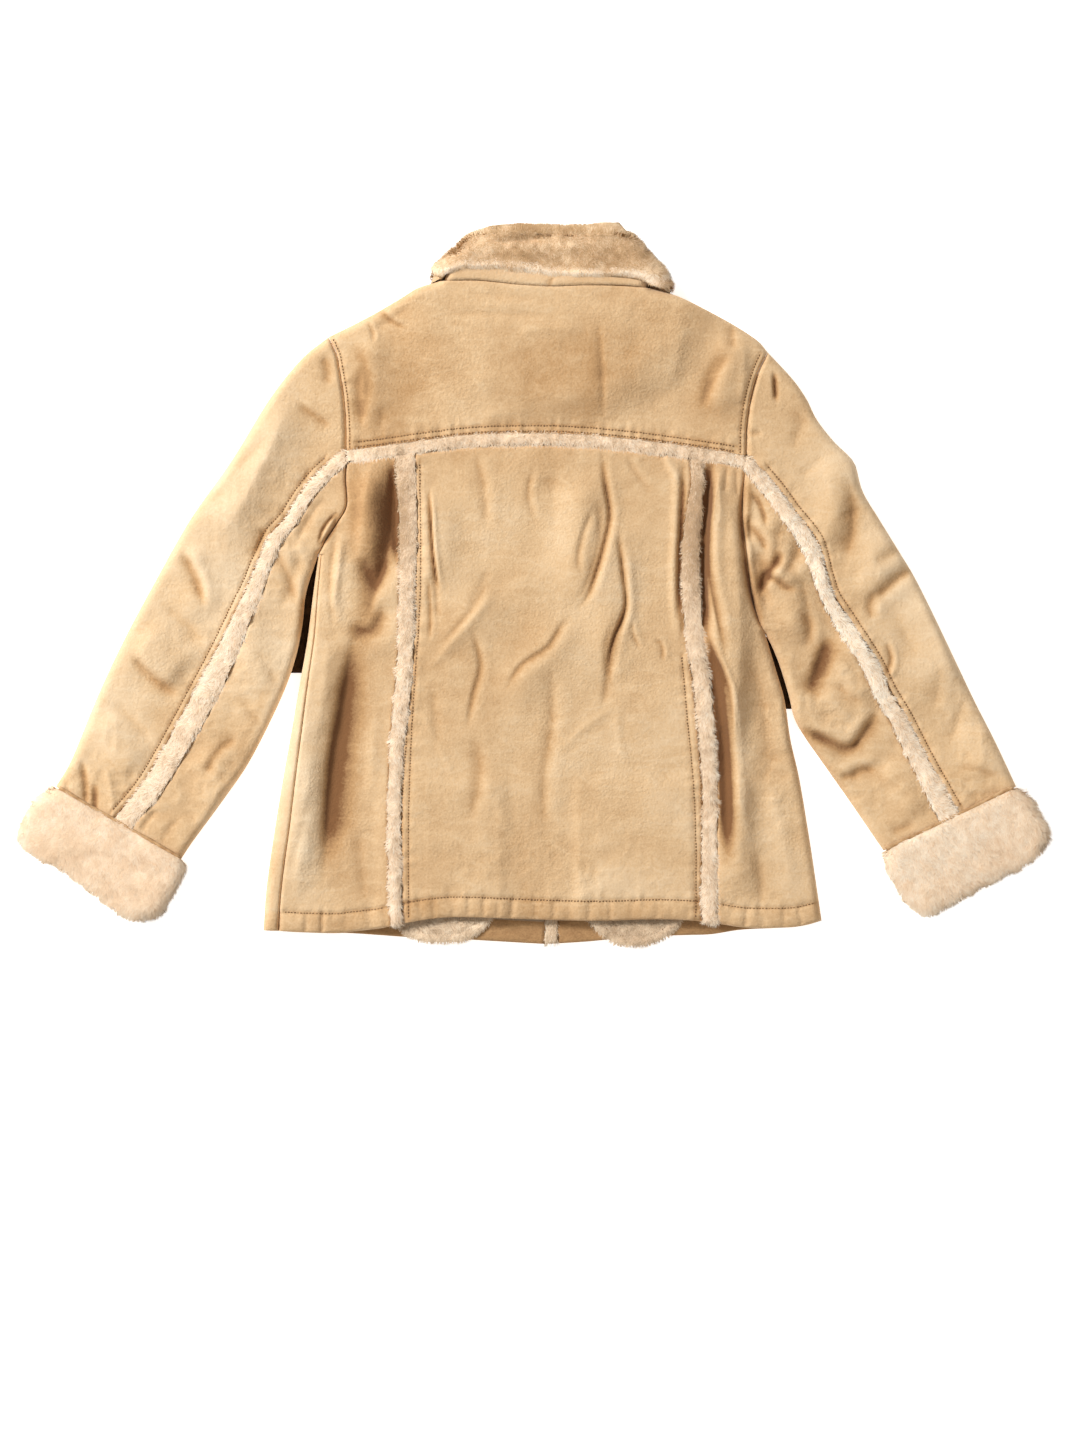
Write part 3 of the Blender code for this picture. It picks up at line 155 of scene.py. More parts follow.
STRIP_RIGHT = table(
    "x y half_width", (161.5, 126, 4.8), (162.5, 101, 5), (158, 60, 7), (156, 30, 7), (156.5, -5, 7.3),
    (160, -51, 7.3), (167.5, -102, 7), (172, -154, 6.3), (175, -205, 6), (175, -255, 6), (174.5, -294, 6.6),
    (175, -338, 6))
BACK_HEM = path(
    (-270, -345), (-203, -347.5), (-183, -346), (-153, -342.5), (-133, -338), (-100, -332.5), (-68, -331),
    (-3, -333.5), (62, -335), (127, -333.5), (171, -336), (207, -341.5), (247, -342), (268, -340),
    (287, -335))
FRONT_HEM = path(
    (-270, -345), (-213, -347.5), (-183, -348), (-153, -350), (-123, -352), (-73, -354), (-3, -358),
    (17, -358.5), (57, -356), (97, -352), (147, -350), (177, -349), (207, -344.5), (247, -342.5), (268, -340),
    (287, -335))
CENTRE_FRONT, CENTRE_STRIP_HALF = 17.0, 5.5
SLEEVE_OUTER_LEFT = path(
    (-205, 247), (-232, 225), (-264, 185), (-301, 125), (-343, 65), (-377, 5), (-409, -55), (-437, -115),
    (-461, -175), (-476, -201))
SLEEVE_INNER_LEFT = path(
    (-215, 30), (-227, -7), (-231, -40), (-238, -74), (-253, -115), (-283, -175), (-310, -215), (-339, -255),
    (-351, -273))
SLEEVE_OUTER_RIGHT = path(
    (233, 232), (258, 205), (272, 185), (282, 165), (299, 143), (319, 122), (328, 93), (344, 66), (365, 32),
    (381, 5), (401, -35), (420, -75), (439, -115), (459, -155), (480, -201))
SLEEVE_INNER_RIGHT = path(
    (231, -50), (237.5, -62), (245.5, -82), (254, -110), (260, -134), (272, -155), (286, -175), (314, -215),
    (341, -255), (348, -265))
SLEEVE_STRIP_LEFT = table(
    "x y half_width", (-187, 128, 5), (-212, 105, 5), (-228, 85, 5), (-241, 64, 5), (-256, 47, 5.2),
    (-267, 23, 5.6), (-278, -6, 6.5), (-291, -35, 7.4), (-306, -69, 9), (-331, -118, 9.8), (-346, -145, 9.2),
    (-364, -177, 9), (-382, -206, 8.6), (-410.5, -239, 7.5))
SLEEVE_STRIP_RIGHT = table(
    "x y half_width", (211, 123, 5), (237, 91, 6), (252, 70, 6), (274, 40, 7), (284, 9, 5.6), (292, -13, 5),
    (309, -41, 6), (333, -80, 6.5), (346, -107, 6.5), (364, -138, 6.6), (385, -180, 7), (401, -211, 8),
    (413, -233, 8.4))
CUFF_LEFT = {
    "mouth": path((-477.2, -200.3), (-346.7, -275.5)),
    "outer": path((-477.2, -200.3), (-495, -211), (-508, -230), (-513.5, -246), (-509, -258)),
    "inner": path((-346.7, -275.5), (-347.5, -285), (-352, -299), (-362, -314), (-374, -328), (-387, -333)),
    "end": path((-509, -258), (-489, -270), (-468, -281), (-445, -298), (-426, -313), (-407, -327),
                (-387, -333)),
}
CUFF_RIGHT = {
    "mouth": path((482, -200.1), (346.2, -265.9)),
    "outer": path((482, -200.1), (494, -211), (503, -226), (511, -241), (513.5, -252), (508, -262)),
    "inner": path((346.2, -265.9), (347.5, -276), (351, -287), (362, -304), (375, -320), (385, -329)),
    "end": path((508, -262), (490, -275), (448, -296), (419, -312), (396, -325), (385, -329)),
}
COLLAR_SIDE_LEFT = path((-102, 309.5), (-99, 318), (-91, 326), (-78, 335), (-68, 347), (-56, 353.5))
COLLAR_SIDE_RIGHT = path((136, 300), (133, 309), (123, 320), (114, 331), (102, 345), (94, 353))
COLLAR_FOLD = path(
    (-56, 353.5), (-41, 357), (-18, 358.5), (20, 356.5), (49, 357.5), (74, 360), (86, 358.5), (94, 353))
COLLAR_FALL_EDGE = path(
    (-102, 309.5), (-95, 305.5), (-86, 309), (-78, 313), (-62, 314.5), (-37, 315), (-9, 312), (16, 309),
    (39, 307), (68, 306), (97, 303.5), (116, 299), (129, 295.5), (136, 300))
COLLAR_FRONT_LEFT = path((-102, 309.5), (-103.5, 284), (-86, 252), (-62, 224), (-26, 207), (17, 236))
COLLAR_FRONT_RIGHT = path((136, 300), (134, 272), (118, 246), (94, 222), (60, 207), (17, 236))
FRONT_NECK_LEFT = path((-95, 301.5), (-86, 280), (-66, 262), (-34, 250), (17, 246))
FRONT_NECK_RIGHT = path((118, 294), (112, 276), (94, 260), (64, 249), (17, 246))
COLLAR_ROWS = table(
    "share upper lower inner", (0, 0.66, 0.8, 1), (0.06, 0.9, 0.95, 1), (0.3, 1, 1, 1), (0.55, 1, 1, 1),
    (0.74, 0.97, 1, 1), (0.755, 0.96, 0.99, 0.22), (0.87, 0.84, 0.9, 0.22), (0.96, 0.62, 0.66, 0.22),
    (1, 0.36, 0.36, 0.22))
POCKET_BAGS = table(
    "centre_x bottom_y width height round", (-92, -356.5, 112, 150, 46), (100.5, -360, 105, 150, 50))

# Topstitching that doesn't run along a seam at an even distance.
ROW_LEFT_OUTER = path(
    (-114, 122), (-112.8, 50), (-113.5, -14), (-117.5, -80), (-122, -147), (-125, -246), (-125, -334))
ROW_LEFT_INNER = path(
    (-118, 122), (-116.6, 50), (-117.6, -14), (-121.4, -80), (-126.5, -147), (-131, -220), (-131.5, -334))
ROW_RIGHT_OUTER = path((147, -70), (153, -138), (158, -189), (161, -256), (161, -335))
ROW_RIGHT_INNER = path((155, -76), (162, -138), (165.5, -189), (167, -256), (166.5, -335))

RIDGE = "x0 y0 x1 y1 bow left right height"
OVAL = "x y across up amount"

# The largest folds, as in the solids: a ridge runs from start to end, bows sideways by bow, is as wide to its
# left and right flanks as those columns say, and stands height above the cloth round it.
FOLDS = table(
    RIDGE, (-205, -10, -243, -330, -8, 20, 20, 7), (-168, 118, -162, 10, 4, 15, 17, 7),
    (186, 116, 190, -190, 14, 13, 28, 9), (200, -170, 212, -325, -5, 15, 22, 7),
    (62, 122, 46, -30, -12, 19, 19, 5), (86, 70, 80, -100, -8, 19, 19, 4), (40, -30, -30, -125, 0, 22, 22, 4),
    (-36, 0, -95, -70, 0, 24, 24, 3.5), (-98, 100, -98, -20, 3, 18, 18, 3.5),
    (196, 262, 174, 160, 8, 17, 19, 5), (-160, 260, -156, 150, -8, 17, 17, 4),
    (-236, 200, -322, 30, 6, 24, 32, 7), (-345, 50, -332, -40, 6, 24, 24, 5),
    (-400, -50, -345, -95, 0, 22, 24, 6), (-292, 10, -262, -115, -6, 20, 20, 5),
    (-436, -125, -398, -195, 4, 20, 20, 5), (-335, -160, -300, -220, 0, 20, 20, 5),
    (300, 138, 288, 30, 8, 20, 20, 6), (232, 90, 238, -20, 8, 15, 16, 5), (266, 30, 262, -65, -6, 20, 20, 6),
    (342, 58, 332, -20, 5, 20, 20, 5), (392, 0, 410, -115, 6, 22, 22, 5), (290, -50, 334, -130, 8, 20, 20, 6),
    (440, -135, 440, -200, 4, 18, 18, 5), (345, -175, 385, -235, 4, 18, 18, 5))
# Narrower creases and ridges: height is below the cloth round it where it is negative.
CREASES = table(
    RIDGE,
    # left side back, beside the strip and below it
    (-142, 131, -136, 15, 0, 5, 5, -5.5), (-157, 129, -172, 20, -5, 14, 7, 4),
    (-203, -50, -217, -160, 2, 15, 8, 3.2), (-215, -140, -235, -320, -3, 14, 9, 3.5),
    (-190, 60, -206, -40, 3, 4, 9, 2.2), (-178, 100, -180, 20, 2, 5, 5, -1.6),
    (-222, -200, -246, -300, 2, 5, 6, -1.6), (-160, -120, -166, -230, 3, 8, 8, 1.5),
    (-176, -240, -168, -318, 0, 6, 6, -1.6),
    # right side back
    (178, 124, 166, 42, 0, 4, 6, -6), (166, 50, 175, -62, 0, 4, 5, -5.5), (185, 122, 169, 38, 3, 4, 13, 3.2),
    (169, 44, 196, -98, -3, 5, 14, 2.6), (200, -90, 216, -268, -4, 8, 8, 3.2),
    (193, 121, 190, 88, 0, 2.5, 3, -1.4), (201, 120, 203, 84, 0, 2.5, 3, -1.4),
    (214, -60, 236, -220, 6, 9, 10, -2.2), (232, -180, 256, -310, 3, 8, 9, 1.8),
    (222, -262, 226, -325, 2, 5, 6, -1.8),
    # centre back
    (90, -16, 73, -98, 3, 3, 5, -2), (98, 40, 100, -60, -3, 6, 8, 1.4),
    (-99, 20, -95, -40, 0, 2.5, 6, -2), (-112, 70, -104, -10, 0, 4, 3, 1.2),
    (-44, 18, -70, -28, 2, 5, 5, -1.1), (128, 137, 148, 96, -2, 7, 2, 3), (148, 100, 148, 20, 1, 6, 1.8, 2.4),
    (149, 30, 142, -60, 2, 5, 2.2, 1.8), (56, -112, 118, -150, 5, 4, 4, 1.1),
    (64, -158, 128, -206, 6, 4, 4, 1.1), (24, -170, 84, -122, 5, 4, 4, 0.9),
    (84, -118, 96, -190, -5, 4, 4, 0.9), (-60, -180, -20, -260, 4, 7, 7, 1.1),
    (-104, -90, -98, -180, 3, 5, 6, -1.1), (20, 120, 24, 40, -3, 6, 8, -1),
    # yoke
    (63, 270, 69, 160, 2, 2, 4, -1.6), (-98, 268, 30, 263, 3, 5, 5, -1.2), (-74, 288, 14, 281, 2, 4, 4, -0.9),
    (-20, 250, 50, 254, 2, 5, 5, 0.9), (197, 262, 198, 230, 0, 4, 6, -2.2),
    (199, 236, 168, 172, -4, 4, 6, -2.2), (208, 250, 204, 175, 3, 4, 6, 1.6),
    (150, 268, 130, 190, 3, 8, 9, 1.3), (-174, 218, -170, 150, -2, 4, 8, -3.4),
    (-150, 180, -154, 138, 0, 5, 7, -1.2), (-120, 280, -166, 250, 2, 4, 4, -1),
    (-60, 165, 0, 172, 2, 6, 5, 0.8),
    # left sleeve
    (-240, 190, -318, 36, 5, 9, 12, 2.6), (-236, 191, -193, 157, 2, 3, 3, -1.5),
    (-266, 60, -280, 26, 1, 4, 6, -3), (-354, 34, -329, -23, 3, 6, 7, -2.6),
    (-194, 74, -216, 36, 3, 1.6, 1.6, -2.6), (-193, 74, -215, 36, -5, 1.6, 1.6, -2.6),
    (-200, 66, -212, 44, 0, 2.5, 2.5, 1.4), (-222, 120, -232, 92, 0, 4, 4, -1.6),
    (-205, 90, -240, 30, -4, 4, 5, -2), (-232, 40, -254, -30, 3, 6, 7, -2.2),
    (-246, 66, -226, 10, 3, 5, 5, 1.5), (-280, -60, -252, -110, 3, 5, 6, -1.8),
    (-296, -110, -268, -150, 2, 4, 5, -1.6), (-262, 150, -300, 112, 2, 6, 6, -1.3),
    (-300, 100, -352, 46, -4, 8, 8, -1.4), (-372, -20, -330, -62, 4, 5, 6, -2.4),
    (-402, -70, -352, -110, -3, 5, 6, -2.4), (-424, -118, -378, -160, 4, 5, 6, -2.2),
    (-450, -172, -446, -226, 2, 3.4, 4, -3.6), (-437, -196, -436, -232, 0, 3, 3, -2.6),
    (-425, -180, -418, -240, 2, 5, 4, 1.8), (-466, -190, -462, -214, 0, 3, 3, -1.8),
    (-392, -250, -372, -222, 2, 3, 3, -2.2), (-372, -262, -352, -232, 2, 4, 4, -1.6),
    (-330, -180, -300, -200, 2, 4, 4, -1.4),
    # right sleeve
    (239, 214, 241, 180, 0, 2.6, 2, -3.4), (213, 149, 228, 152, 0, 2.2, 2.2, -2.4),
    (311, 108, 309, 20, 7, 6, 10, -3.2), (214, 70, 216, 38, 0, 3, 4, -3.2),
    (213, 95, 231, 55, 4, 2.2, 2.6, -2), (222, 40, 232, -30, 3, 5, 6, -2.6),
    (248, 66, 244, 10, -3, 5, 6, -2.4), (258, 20, 276, -60, 5, 5, 6, -2.2),
    (282, -110, 318, -140, 4, 4, 5, 1.6), (262, -120, 300, -164, -3, 5, 6, -2),
    (300, -60, 326, -112, 4, 5, 6, -1.6), (412, -180, 470, -196, 3, 4, 4, -2.4),
    (400, -196, 440, -214, 2, 4, 4, 1.6), (426, -212, 468, -208, 2, 3, 3, -1.8),
    (380, -236, 352, -246, 2, 4, 4, -1.8), (350, -20, 380, -80, 5, 8, 9, -1.8),
    (402, -70, 396, -130, 4, 7, 8, -1.8), (428, -110, 412, -160, 3, 5, 6, -1.8),
    (268, 176, 254, 130, 3, 6, 8, -1.6), (290, 130, 262, 108, 2, 4, 4, -1.2),
    (330, 80, 300, 66, 2, 5, 5, -1.2))
# Long creases that follow a curve: the widths of the trough to the left and right of its way, its height, the
# share of that in the fold that stands up on its left, its painted shade in the nap, and its x and y.
LONG_CREASES = (
    # centre back
    (1.6, 1.6, -4.2, 0.5, 0.5, (-105, 100), (-103, 66), (-101, 34), (-98, 10), (-94, -12)),
    (1.6, 1.8, -1.8, 0.4, 0.16, (-106, 10), (-104, -14), (-103, -40), (-105, -60)),
    (3.2, 1.8, -3.6, 0.3, 0.26, (67, 140), (70, 104), (75, 70), (70, 41), (60, 6), (52, -14), (38, -30)),
    (6.0, 3.0, -1.8, 0.2, 0.06, (62, 90), (66, 50), (56, 10), (42, -22)),
    (4.6, 2.4, -2.2, 0.25, 0.12, (40, -28), (28, -40), (14, -62), (-14, -82), (-30, -110)),
    (3.6, 2.2, -2.2, 0.25, 0.12, (-64, -40), (-57, -62), (-54, -84), (-61, -112), (-67, -148)),
    (3.0, 1.8, -3.8, 0.25, 0.3, (82, 62), (88, 14), (91, -22), (80, -52), (75, -74), (74, -104)),
    (6.0, 3.0, -1.6, 0.1, 0.08, (82, -28), (72, -60), (72, -100), (66, -130)),
    (1.8, 2.0, -1.4, 0.6, 0.08, (97, -34), (99, -50), (107, -66)),
    (1.8, 2.0, -1.6, 0.6, 0.1, (118, -54), (127, -60), (129, -78)),
    (4.0, 5.0, -1.4, 0.4, 0.04, (-58, 134), (-50, 96), (-46, 50)),
    (5.0, 7.0, -1.6, 0.4, 0.05, (-60, -150), (-54, -190), (-64, -240)),
    (5.0, 6.0, -1.6, 0.4, 0.04, (16, -70), (18, -130), (10, -200), (12, -262)),
    (3.0, 3.0, -1.2, 0.5, 0.04, (92, 128), (104, 108), (118, 92)),
    (5.0, 5.0, 1.4, 0.0, 0.0, (-38, -8), (-75, -50), (-108, -90)),
    (4.0, 3.0, -1.2, 0.4, 0.05, (-44, 4), (-66, -30), (-96, -64)),
    (2.0, 2.0, 0.9, 0.0, 0.0, (-115, -120), (-95, -160), (-76, -198)),
    (3.0, 2.4, -1.6, 0.6, 0.06, (60, 78), (49, 50), (44, 24), (50, 4)),
    (3.0, 2.4, -1.2, 0.6, 0.04, (0, 118), (-6, 90), (2, 60)),
    # yoke and sleeve heads
    (6.0, 9.0, -2.8, 0.0, 0.06, (-189, 242), (-172, 226), (-166, 200), (-169, 176), (-172, 156)),
    (1.8, 2.6, -2.0, 0.6, 0.12, (-154, 273), (-141, 262), (-127, 255)),
    (1.8, 1.8, -1.6, 0.6, 0.1, (-166, 262), (-161, 252), (-159, 240)),
    (6.0, 6.0, -1.6, 0.3, 0.06, (190, 236), (174, 206), (168, 170)),
    (3.0, 5.0, -2.4, 0.5, 0.12, (-238, 182), (-219, 169), (-199, 156)),
    (5.0, 5.0, -2.2, 0.3, 0.12, (-210, 230), (-206, 214), (-205, 196)),
    # left side back
    (4.5, 15.0, -4.8, 0.0, 0.2, (-139, 130), (-140, 84), (-147, 34), (-157, 0), (-170, -46)),
    (8.0, 6.0, -3.0, 0.6, 0.14, (-143, 30), (-155, 6), (-166, 12), (-176, 30)),
    (8.0, 6.0, -3.0, 0.5, 0.16, (-148, -18), (-158, -42), (-172, -46), (-184, -34)),
    (16.0, 6.0, -6.0, 0.0, 0.3, (-172, -30), (-182, -70), (-192, -130), (-203, -200), (-210, -310)),
    (3.0, 3.0, -1.8, 0.6, 0.06, (-196, 60), (-203, 0), (-199, -50)),
    # right side back
    (2.6, 3.4, -3.6, 0.6, 0.5, (149, -64), (145.5, -20), (145, 20), (147, 60), (148, 96), (147, 132)),
    (5.5, 5.0, -6.0, 0.2, 0.9, (176, 134), (172, 104), (170, 70), (167, 36), (166, 4), (168, -30), (172, -60)),
    (4.0, 2.2, -3.0, 0.7, 0.3, (186, 122), (178, 96), (173, 60), (172, 30), (176, 0), (184, -40), (193, -86)),
    (7.0, 7.0, -6.0, 0.3, 0.7, (168, -40), (179, -84), (187, -140), (191, -190), (193, -290)),
    (2.0, 2.4, -2.4, 0.8, 0.16, (168, -30), (178, -66), (194, -106), (199, -160)),
    (2.6, 3.0, -3.4, 0.5, 0.3, (212, 118), (206.5, 70), (209.5, 30), (214, 0), (223, -34), (231, -56)),
    # right sleeve
    (3.4, 4.4, -4.8, 0.5, 0.3, (250, 34), (240, 20), (229, 4), (226, -14)),
    (3.4, 4.0, -3.4, 0.4, 0.22, (226, 10), (240, 5), (250, -2), (262, -6)),
    (3.0, 3.0, -2.6, 0.5, 0.14, (214, 60), (226, 46), (232, 30)),
    (11.0, 7.0, -6.0, 0.2, 0.28, (296, -48), (287, -74), (278, -98), (270, -114)),
    (4.2, 6.5, -4.4, 0.4, 0.2, (256, -136), (273, -147), (290, -154), (314, -163), (330, -146), (348, -118)),
    (4.0, 4.0, -2.8, 0.5, 0.14, (300, -193), (316, -191), (330, -184), (344, -188)),
    (5.0, 6.0, -3.2, 0.3, 0.2, (382, 18), (362, 6), (346, -8), (334, -12)),
    (5.0, 4.0, -2.2, 0.4, 0.14, (340, -6), (334, -22), (338, -36)),
    (5.0, 6.0, -2.0, 0.5, 0.04, (366, 38), (350, 26), (336, 22)),
    (2.2, 2.6, -2.2, 0.5, 0.12, (350, -56), (356, -74), (350, -94)),
    (5.0, 6.0, -2.6, 0.4, 0.06, (268, 60), (262, 30), (246, 6)),
    (4.0, 5.0, -2.0, 0.5, 0.04, (262, -24), (274, -40), (272, -66)),
    (5.0, 6.0, -2.2, 0.4, 0.04, (300, -96), (314, -112), (330, -118)),
    # left sleeve
    (4.0, 4.0, -2.6, 0.6, 0.1, (-354, 36), (-338, 10), (-326, -28)),
    (4.0, 5.0, -2.4, 0.5, 0.04, (-404, -66), (-382, -92), (-352, -112)),
    (4.0, 5.0, -2.2, 0.5, 0.06, (-262, 40), (-246, 10), (-234, -26)),
    (4.0, 4.0, -2.2, 0.5, 0.06, (-292, -150), (-314, -166), (-330, -196)))
# Rumpled places: soft ovals in which the small waves are stronger.
RUMPLED = table(
    OVAL, (-250, 40, 45, 60, 0.9), (-300, -90, 45, 70, 0.8), (-345, -215, 60, 40, 1.2),
    (-430, -190, 40, 40, 0.8), (235, 50, 30, 70, 0.8), (285, -110, 40, 60, 1.1), (330, -190, 50, 50, 1.0),
    (430, -170, 45, 50, 0.8), (330, 30, 45, 60, 0.5), (40, -290, 110, 45, 0.7), (-215, -240, 40, 90, 0.3),
    (230, -200, 40, 110, 0.5))
# Painted shade where deep folds keep the light out: like the creases, with amount for height.
SHADED = table(
    RIDGE,
    # beside the left strip
    (-141, 128, -138, 16, 0, 7, 3.5, 0.5),
    # left sleeve
    (-193, 72, -215, 36, 4, 1.8, 1.8, 0.4), (-193, 72, -215, 36, -6, 1.8, 1.8, 0.3),
    (-228, -4, -232, -60, 0, 5, 5, 0.3), (-242, -70, -300, -195, -6, 5, 7, 0.1),
    (-436, -196, -436, -234, 0, 3, 4, 0.3), (-449, -176, -446, -226, 2, 3, 4, 0.16),
    # right sleeve and side back
    (216, 95, 230, 56, 4, 2.2, 3, 0.3), (214, 110, 208, 36, 3, 3, 4, 0.28),
    (212, 30, 228, -50, 2, 4, 4, 0.22), (312, 106, 312, 24, 7, 6, 8, 0.12),
    (240, 212, 241, 182, 0, 2.4, 2.4, 0.3))
# Soft ovals in which the nap is lighter, or darker where the amount is negative: partly brushed nap, partly
# painted light on the sleeves and painted shade in the hollows beside the strips.
BRUSHED_AND_PAINTED_LIGHT = table(
    OVAL, (-330, 90, 60, 110, 0.16), (-420, -110, 50, 80, 0.12), (-250, -60, 22, 90, 0.05),
    (320, 120, 60, 60, 0.1), (410, -60, 40, 90, 0.05), (-235, -180, 26, 120, 0.2), (-190, 50, 16, 50, -0.06),
    (235, -180, 30, 120, 0.02), (-20, 60, 90, 70, 0.04), (120, 220, 60, 50, -0.08),
    (-60, -60, 60, 120, -0.03), (250, 40, 34, 80, -0.03), (-160, 90, 20, 40, -0.12),
    (185, -80, 16, 80, -0.06), (100, -300, 70, 20, 0.1), (0, -240, 120, 60, -0.05), (60, 215, 12, 40, -0.08),
    (-160, 72, 24, 60, -0.24), (-164, -28, 18, 28, -0.14), (-181, 84, 9, 44, -0.1),
    (-196, -130, 11, 80, -0.1), (-190, -210, 14, 90, -0.06), (184, -140, 11, 80, -0.14),
    (190, 60, 18, 80, -0.05), (-300, -60, 50, 90, 0.1), (-250, 130, 30, 60, 0.06), (370, 20, 60, 110, 0.14),
    (440, -150, 44, 60, 0.12), (300, 120, 44, 50, 0.1), (270, 90, 20, 40, 0.05), (-130, 200, 30, 50, -0.06),
    (180, 180, 30, 40, -0.06), (-20, 215, 130, 60, -0.11), (0, 112, 100, 40, -0.11), (-186, 20, 10, 60, 0.06),
    (170, -250, 30, 60, 0.06))
# Where the pile is darker, or lighter: partly its own mottling and patches, partly painted shade on the back
# strips' tops, the left cuff and the right pocket bag, and painted light on the fringe, the right strip and
# cuff.
PILE_SHADES = table(
    OVAL, (160, 62, 16, 66, -0.8), (-132, 70, 12, 60, -0.6), (370, -255, 70, 50, 0.14),
    (-430, -270, 70, 50, -0.16), (95, -345, 40, 20, -0.25), (290, -30, 90, 190, 0.34),
    (400, -210, 50, 60, 0.08), (162, -170, 14, 120, -0.2), (0, 142, 190, 10, -0.12),
    (-300, -60, 90, 150, 0.06), (-463, -262, 24, 15, -0.3), (-385, -302, 24, 16, -0.16),
    (-420, -250, 30, 12, 0.1), (470, -262, 26, 14, -0.14), (400, -300, 26, 14, -0.12),
    (-17, 329, 26, 6, -0.28), (78, 328, 28, 8, -0.26), (2, 351, 44, 5, -0.2), (86, 354, 10, 6, 0.3),
    (-62, 349, 13, 8, 0.24), (-80, 334, 12, 10, 0.2), (-98, 316, 14, 10, 0.24), (118, 326, 8, 14, 0.16),
    (104, 342, 10, 10, 0.2), (20, 310, 120, 4, 0.3), (30, 338, 16, 5, 0.16), (-40, 336, 24, 4, 0.12))


# ---- lines and fields

def smooth_line(points, count=LINE_POINTS):
    """A Catmull-Rom curve through a table's x and y, resampled evenly along its length."""
    p = np.column_stack([points["x"], points["y"]])
    if len(p) == 2:
        return p[0] + (p[1] - p[0]) * np.linspace(0, 1, count)[:, None]
    ends = np.vstack([2 * p[0] - p[1], p, 2 * p[-1] - p[-2]])
    t = np.linspace(0, 1, 24, endpoint=False)[:, None]
    pieces = []
    for a, b, c, d in zip(ends, ends[1:], ends[2:], ends[3:]):
        pieces.append(0.5 * (2 * b + (c - a) * t + (2 * a - 5 * b + 4 * c - d) * t**2
                             + (3 * b - a - 3 * c + d) * t**3))
    return at_fraction(np.vstack([*pieces, p[-1:]]), np.linspace(0, 1, count))


def length_along(line):
    """The distance of each point of a line from its start: the running sum of its steps."""
    return np.concatenate([[0.0], np.cumsum(np.linalg.norm(np.diff(line, axis=0), axis=1))])


def at_length(line, lengths):
    """The points at these distances along a line, read off between its own points."""
    along = length_along(line)
    return np.column_stack([np.interp(lengths, along, line[:, k]) for k in range(line.shape[1])])


def at_fraction(line, fractions):
    """The points at these shares of a line's length."""
    return at_length(line, np.asarray(fractions) * length_along(line)[-1])


def at_height(line, heights):
    """The points of a line that runs down the garment, at these y values."""
    return np.column_stack([np.interp(-np.asarray(heights), -line[:, 1], line[:, 0]), heights])


def y_on(line, x):
    """The y of a line that runs across the garment, at these x values."""
    return np.interp(x, line[:, 0], line[:, 1])


def normals(line):
    """The unit normals to the left of a line's direction: its tangents, turned by a quarter."""
    d = unit(np.gradient(line, axis=0))
    return np.column_stack([-d[:, 1], d[:, 0]])


def unit(vectors):
    """Vectors of the same directions and of length 1."""
    return vectors / np.maximum(np.linalg.norm(vectors, axis=-1, keepdims=True), 1e-9)


def beside(line, distance):
    """A line moved to its left by a distance, or to its right where that is negative."""
    return line + normals(line) * np.reshape(distance, (-1, 1))


def nearest(points, line):
    """For each point: its distance from a line, how far along the line that is, and the normal there."""
    line = np.vstack([line[:-1:4], line[-1:]]) if len(line) > 60 else line
    start, run = line[:-1], np.diff(line, axis=0)
    flat = points.reshape(-1, 2)
    offset = flat[:, None] - start
    share = np.clip(np.sum(offset * run, axis=-1) / np.sum(run * run, axis=-1), 0, 1)
    gap = np.linalg.norm(offset - share[..., None] * run, axis=-1)
    step = gap.argmin(axis=1)
    pick = np.arange(len(flat))
    along = length_along(line)[step] + share[pick, step] * np.linalg.norm(run[step], axis=1)
    way = unit(np.column_stack([-run[step, 1], run[step, 0]]))
    shape = points.shape[:-1]
    return gap[pick, step].reshape(shape), along.reshape(shape), way.reshape(*shape, 2)


def steps(length, round_start=(), round_end=(), spacing=GRID):
    """Distances from 0 to length: those given at either rounded end, and even ones between."""
    low = list(round_start) or [0.0]
    high = [length - s for s in reversed(round_end)] or [length]
    count = max(2, round((high[0] - low[-1]) / spacing) + 1)
    return np.array(low[:-1] + list(np.linspace(low[-1], high[0], count)) + high[1:])


def smoothstep(x):
    """0 below 0, 1 above 1, and an even S between them: 3 x squared less 2 x cubed."""
    x = np.clip(x, 0, 1)
    return x * x * (3 - 2 * x)


def bell(x, width):
    """A bell curve: exp(-(x / width) squared)."""
    return np.exp(-(x / width) ** 2)


def rise(distance, radius=EDGE):
    """A quarter circle: 0 at a folded edge, 1 from one radius in."""
    away = np.clip(1 - distance / radius, 0, 1)
    return np.sqrt(1 - away * away)


def soft_noise(points, size, seed):
    """Smooth heights from -1 to 1: values drawn at the corners of squares of this size, blended across each
    square by an S-curve."""
    cells = 256
    lattice = np.random.default_rng(seed).uniform(-1, 1, (cells, cells))
    place = points[..., :2] / size + cells / 2
    low = np.floor(place).astype(int)
    u, v = np.moveaxis(smoothstep(place - low), -1, 0)
    i, j = np.moveaxis(low % cells, -1, 0)
    i_next, j_next = (i + 1) % cells, (j + 1) % cells
    return ((lattice[i, j] * (1 - u) + lattice[i_next, j] * u) * (1 - v)
            + (lattice[i, j_next] * (1 - u) + lattice[i_next, j_next] * u) * v)


def waves(points, *layers):
    """The sum of several soft noises, each with its height, size and seed."""
    return sum(height * soft_noise(points, size, seed) for height, size, seed in layers)


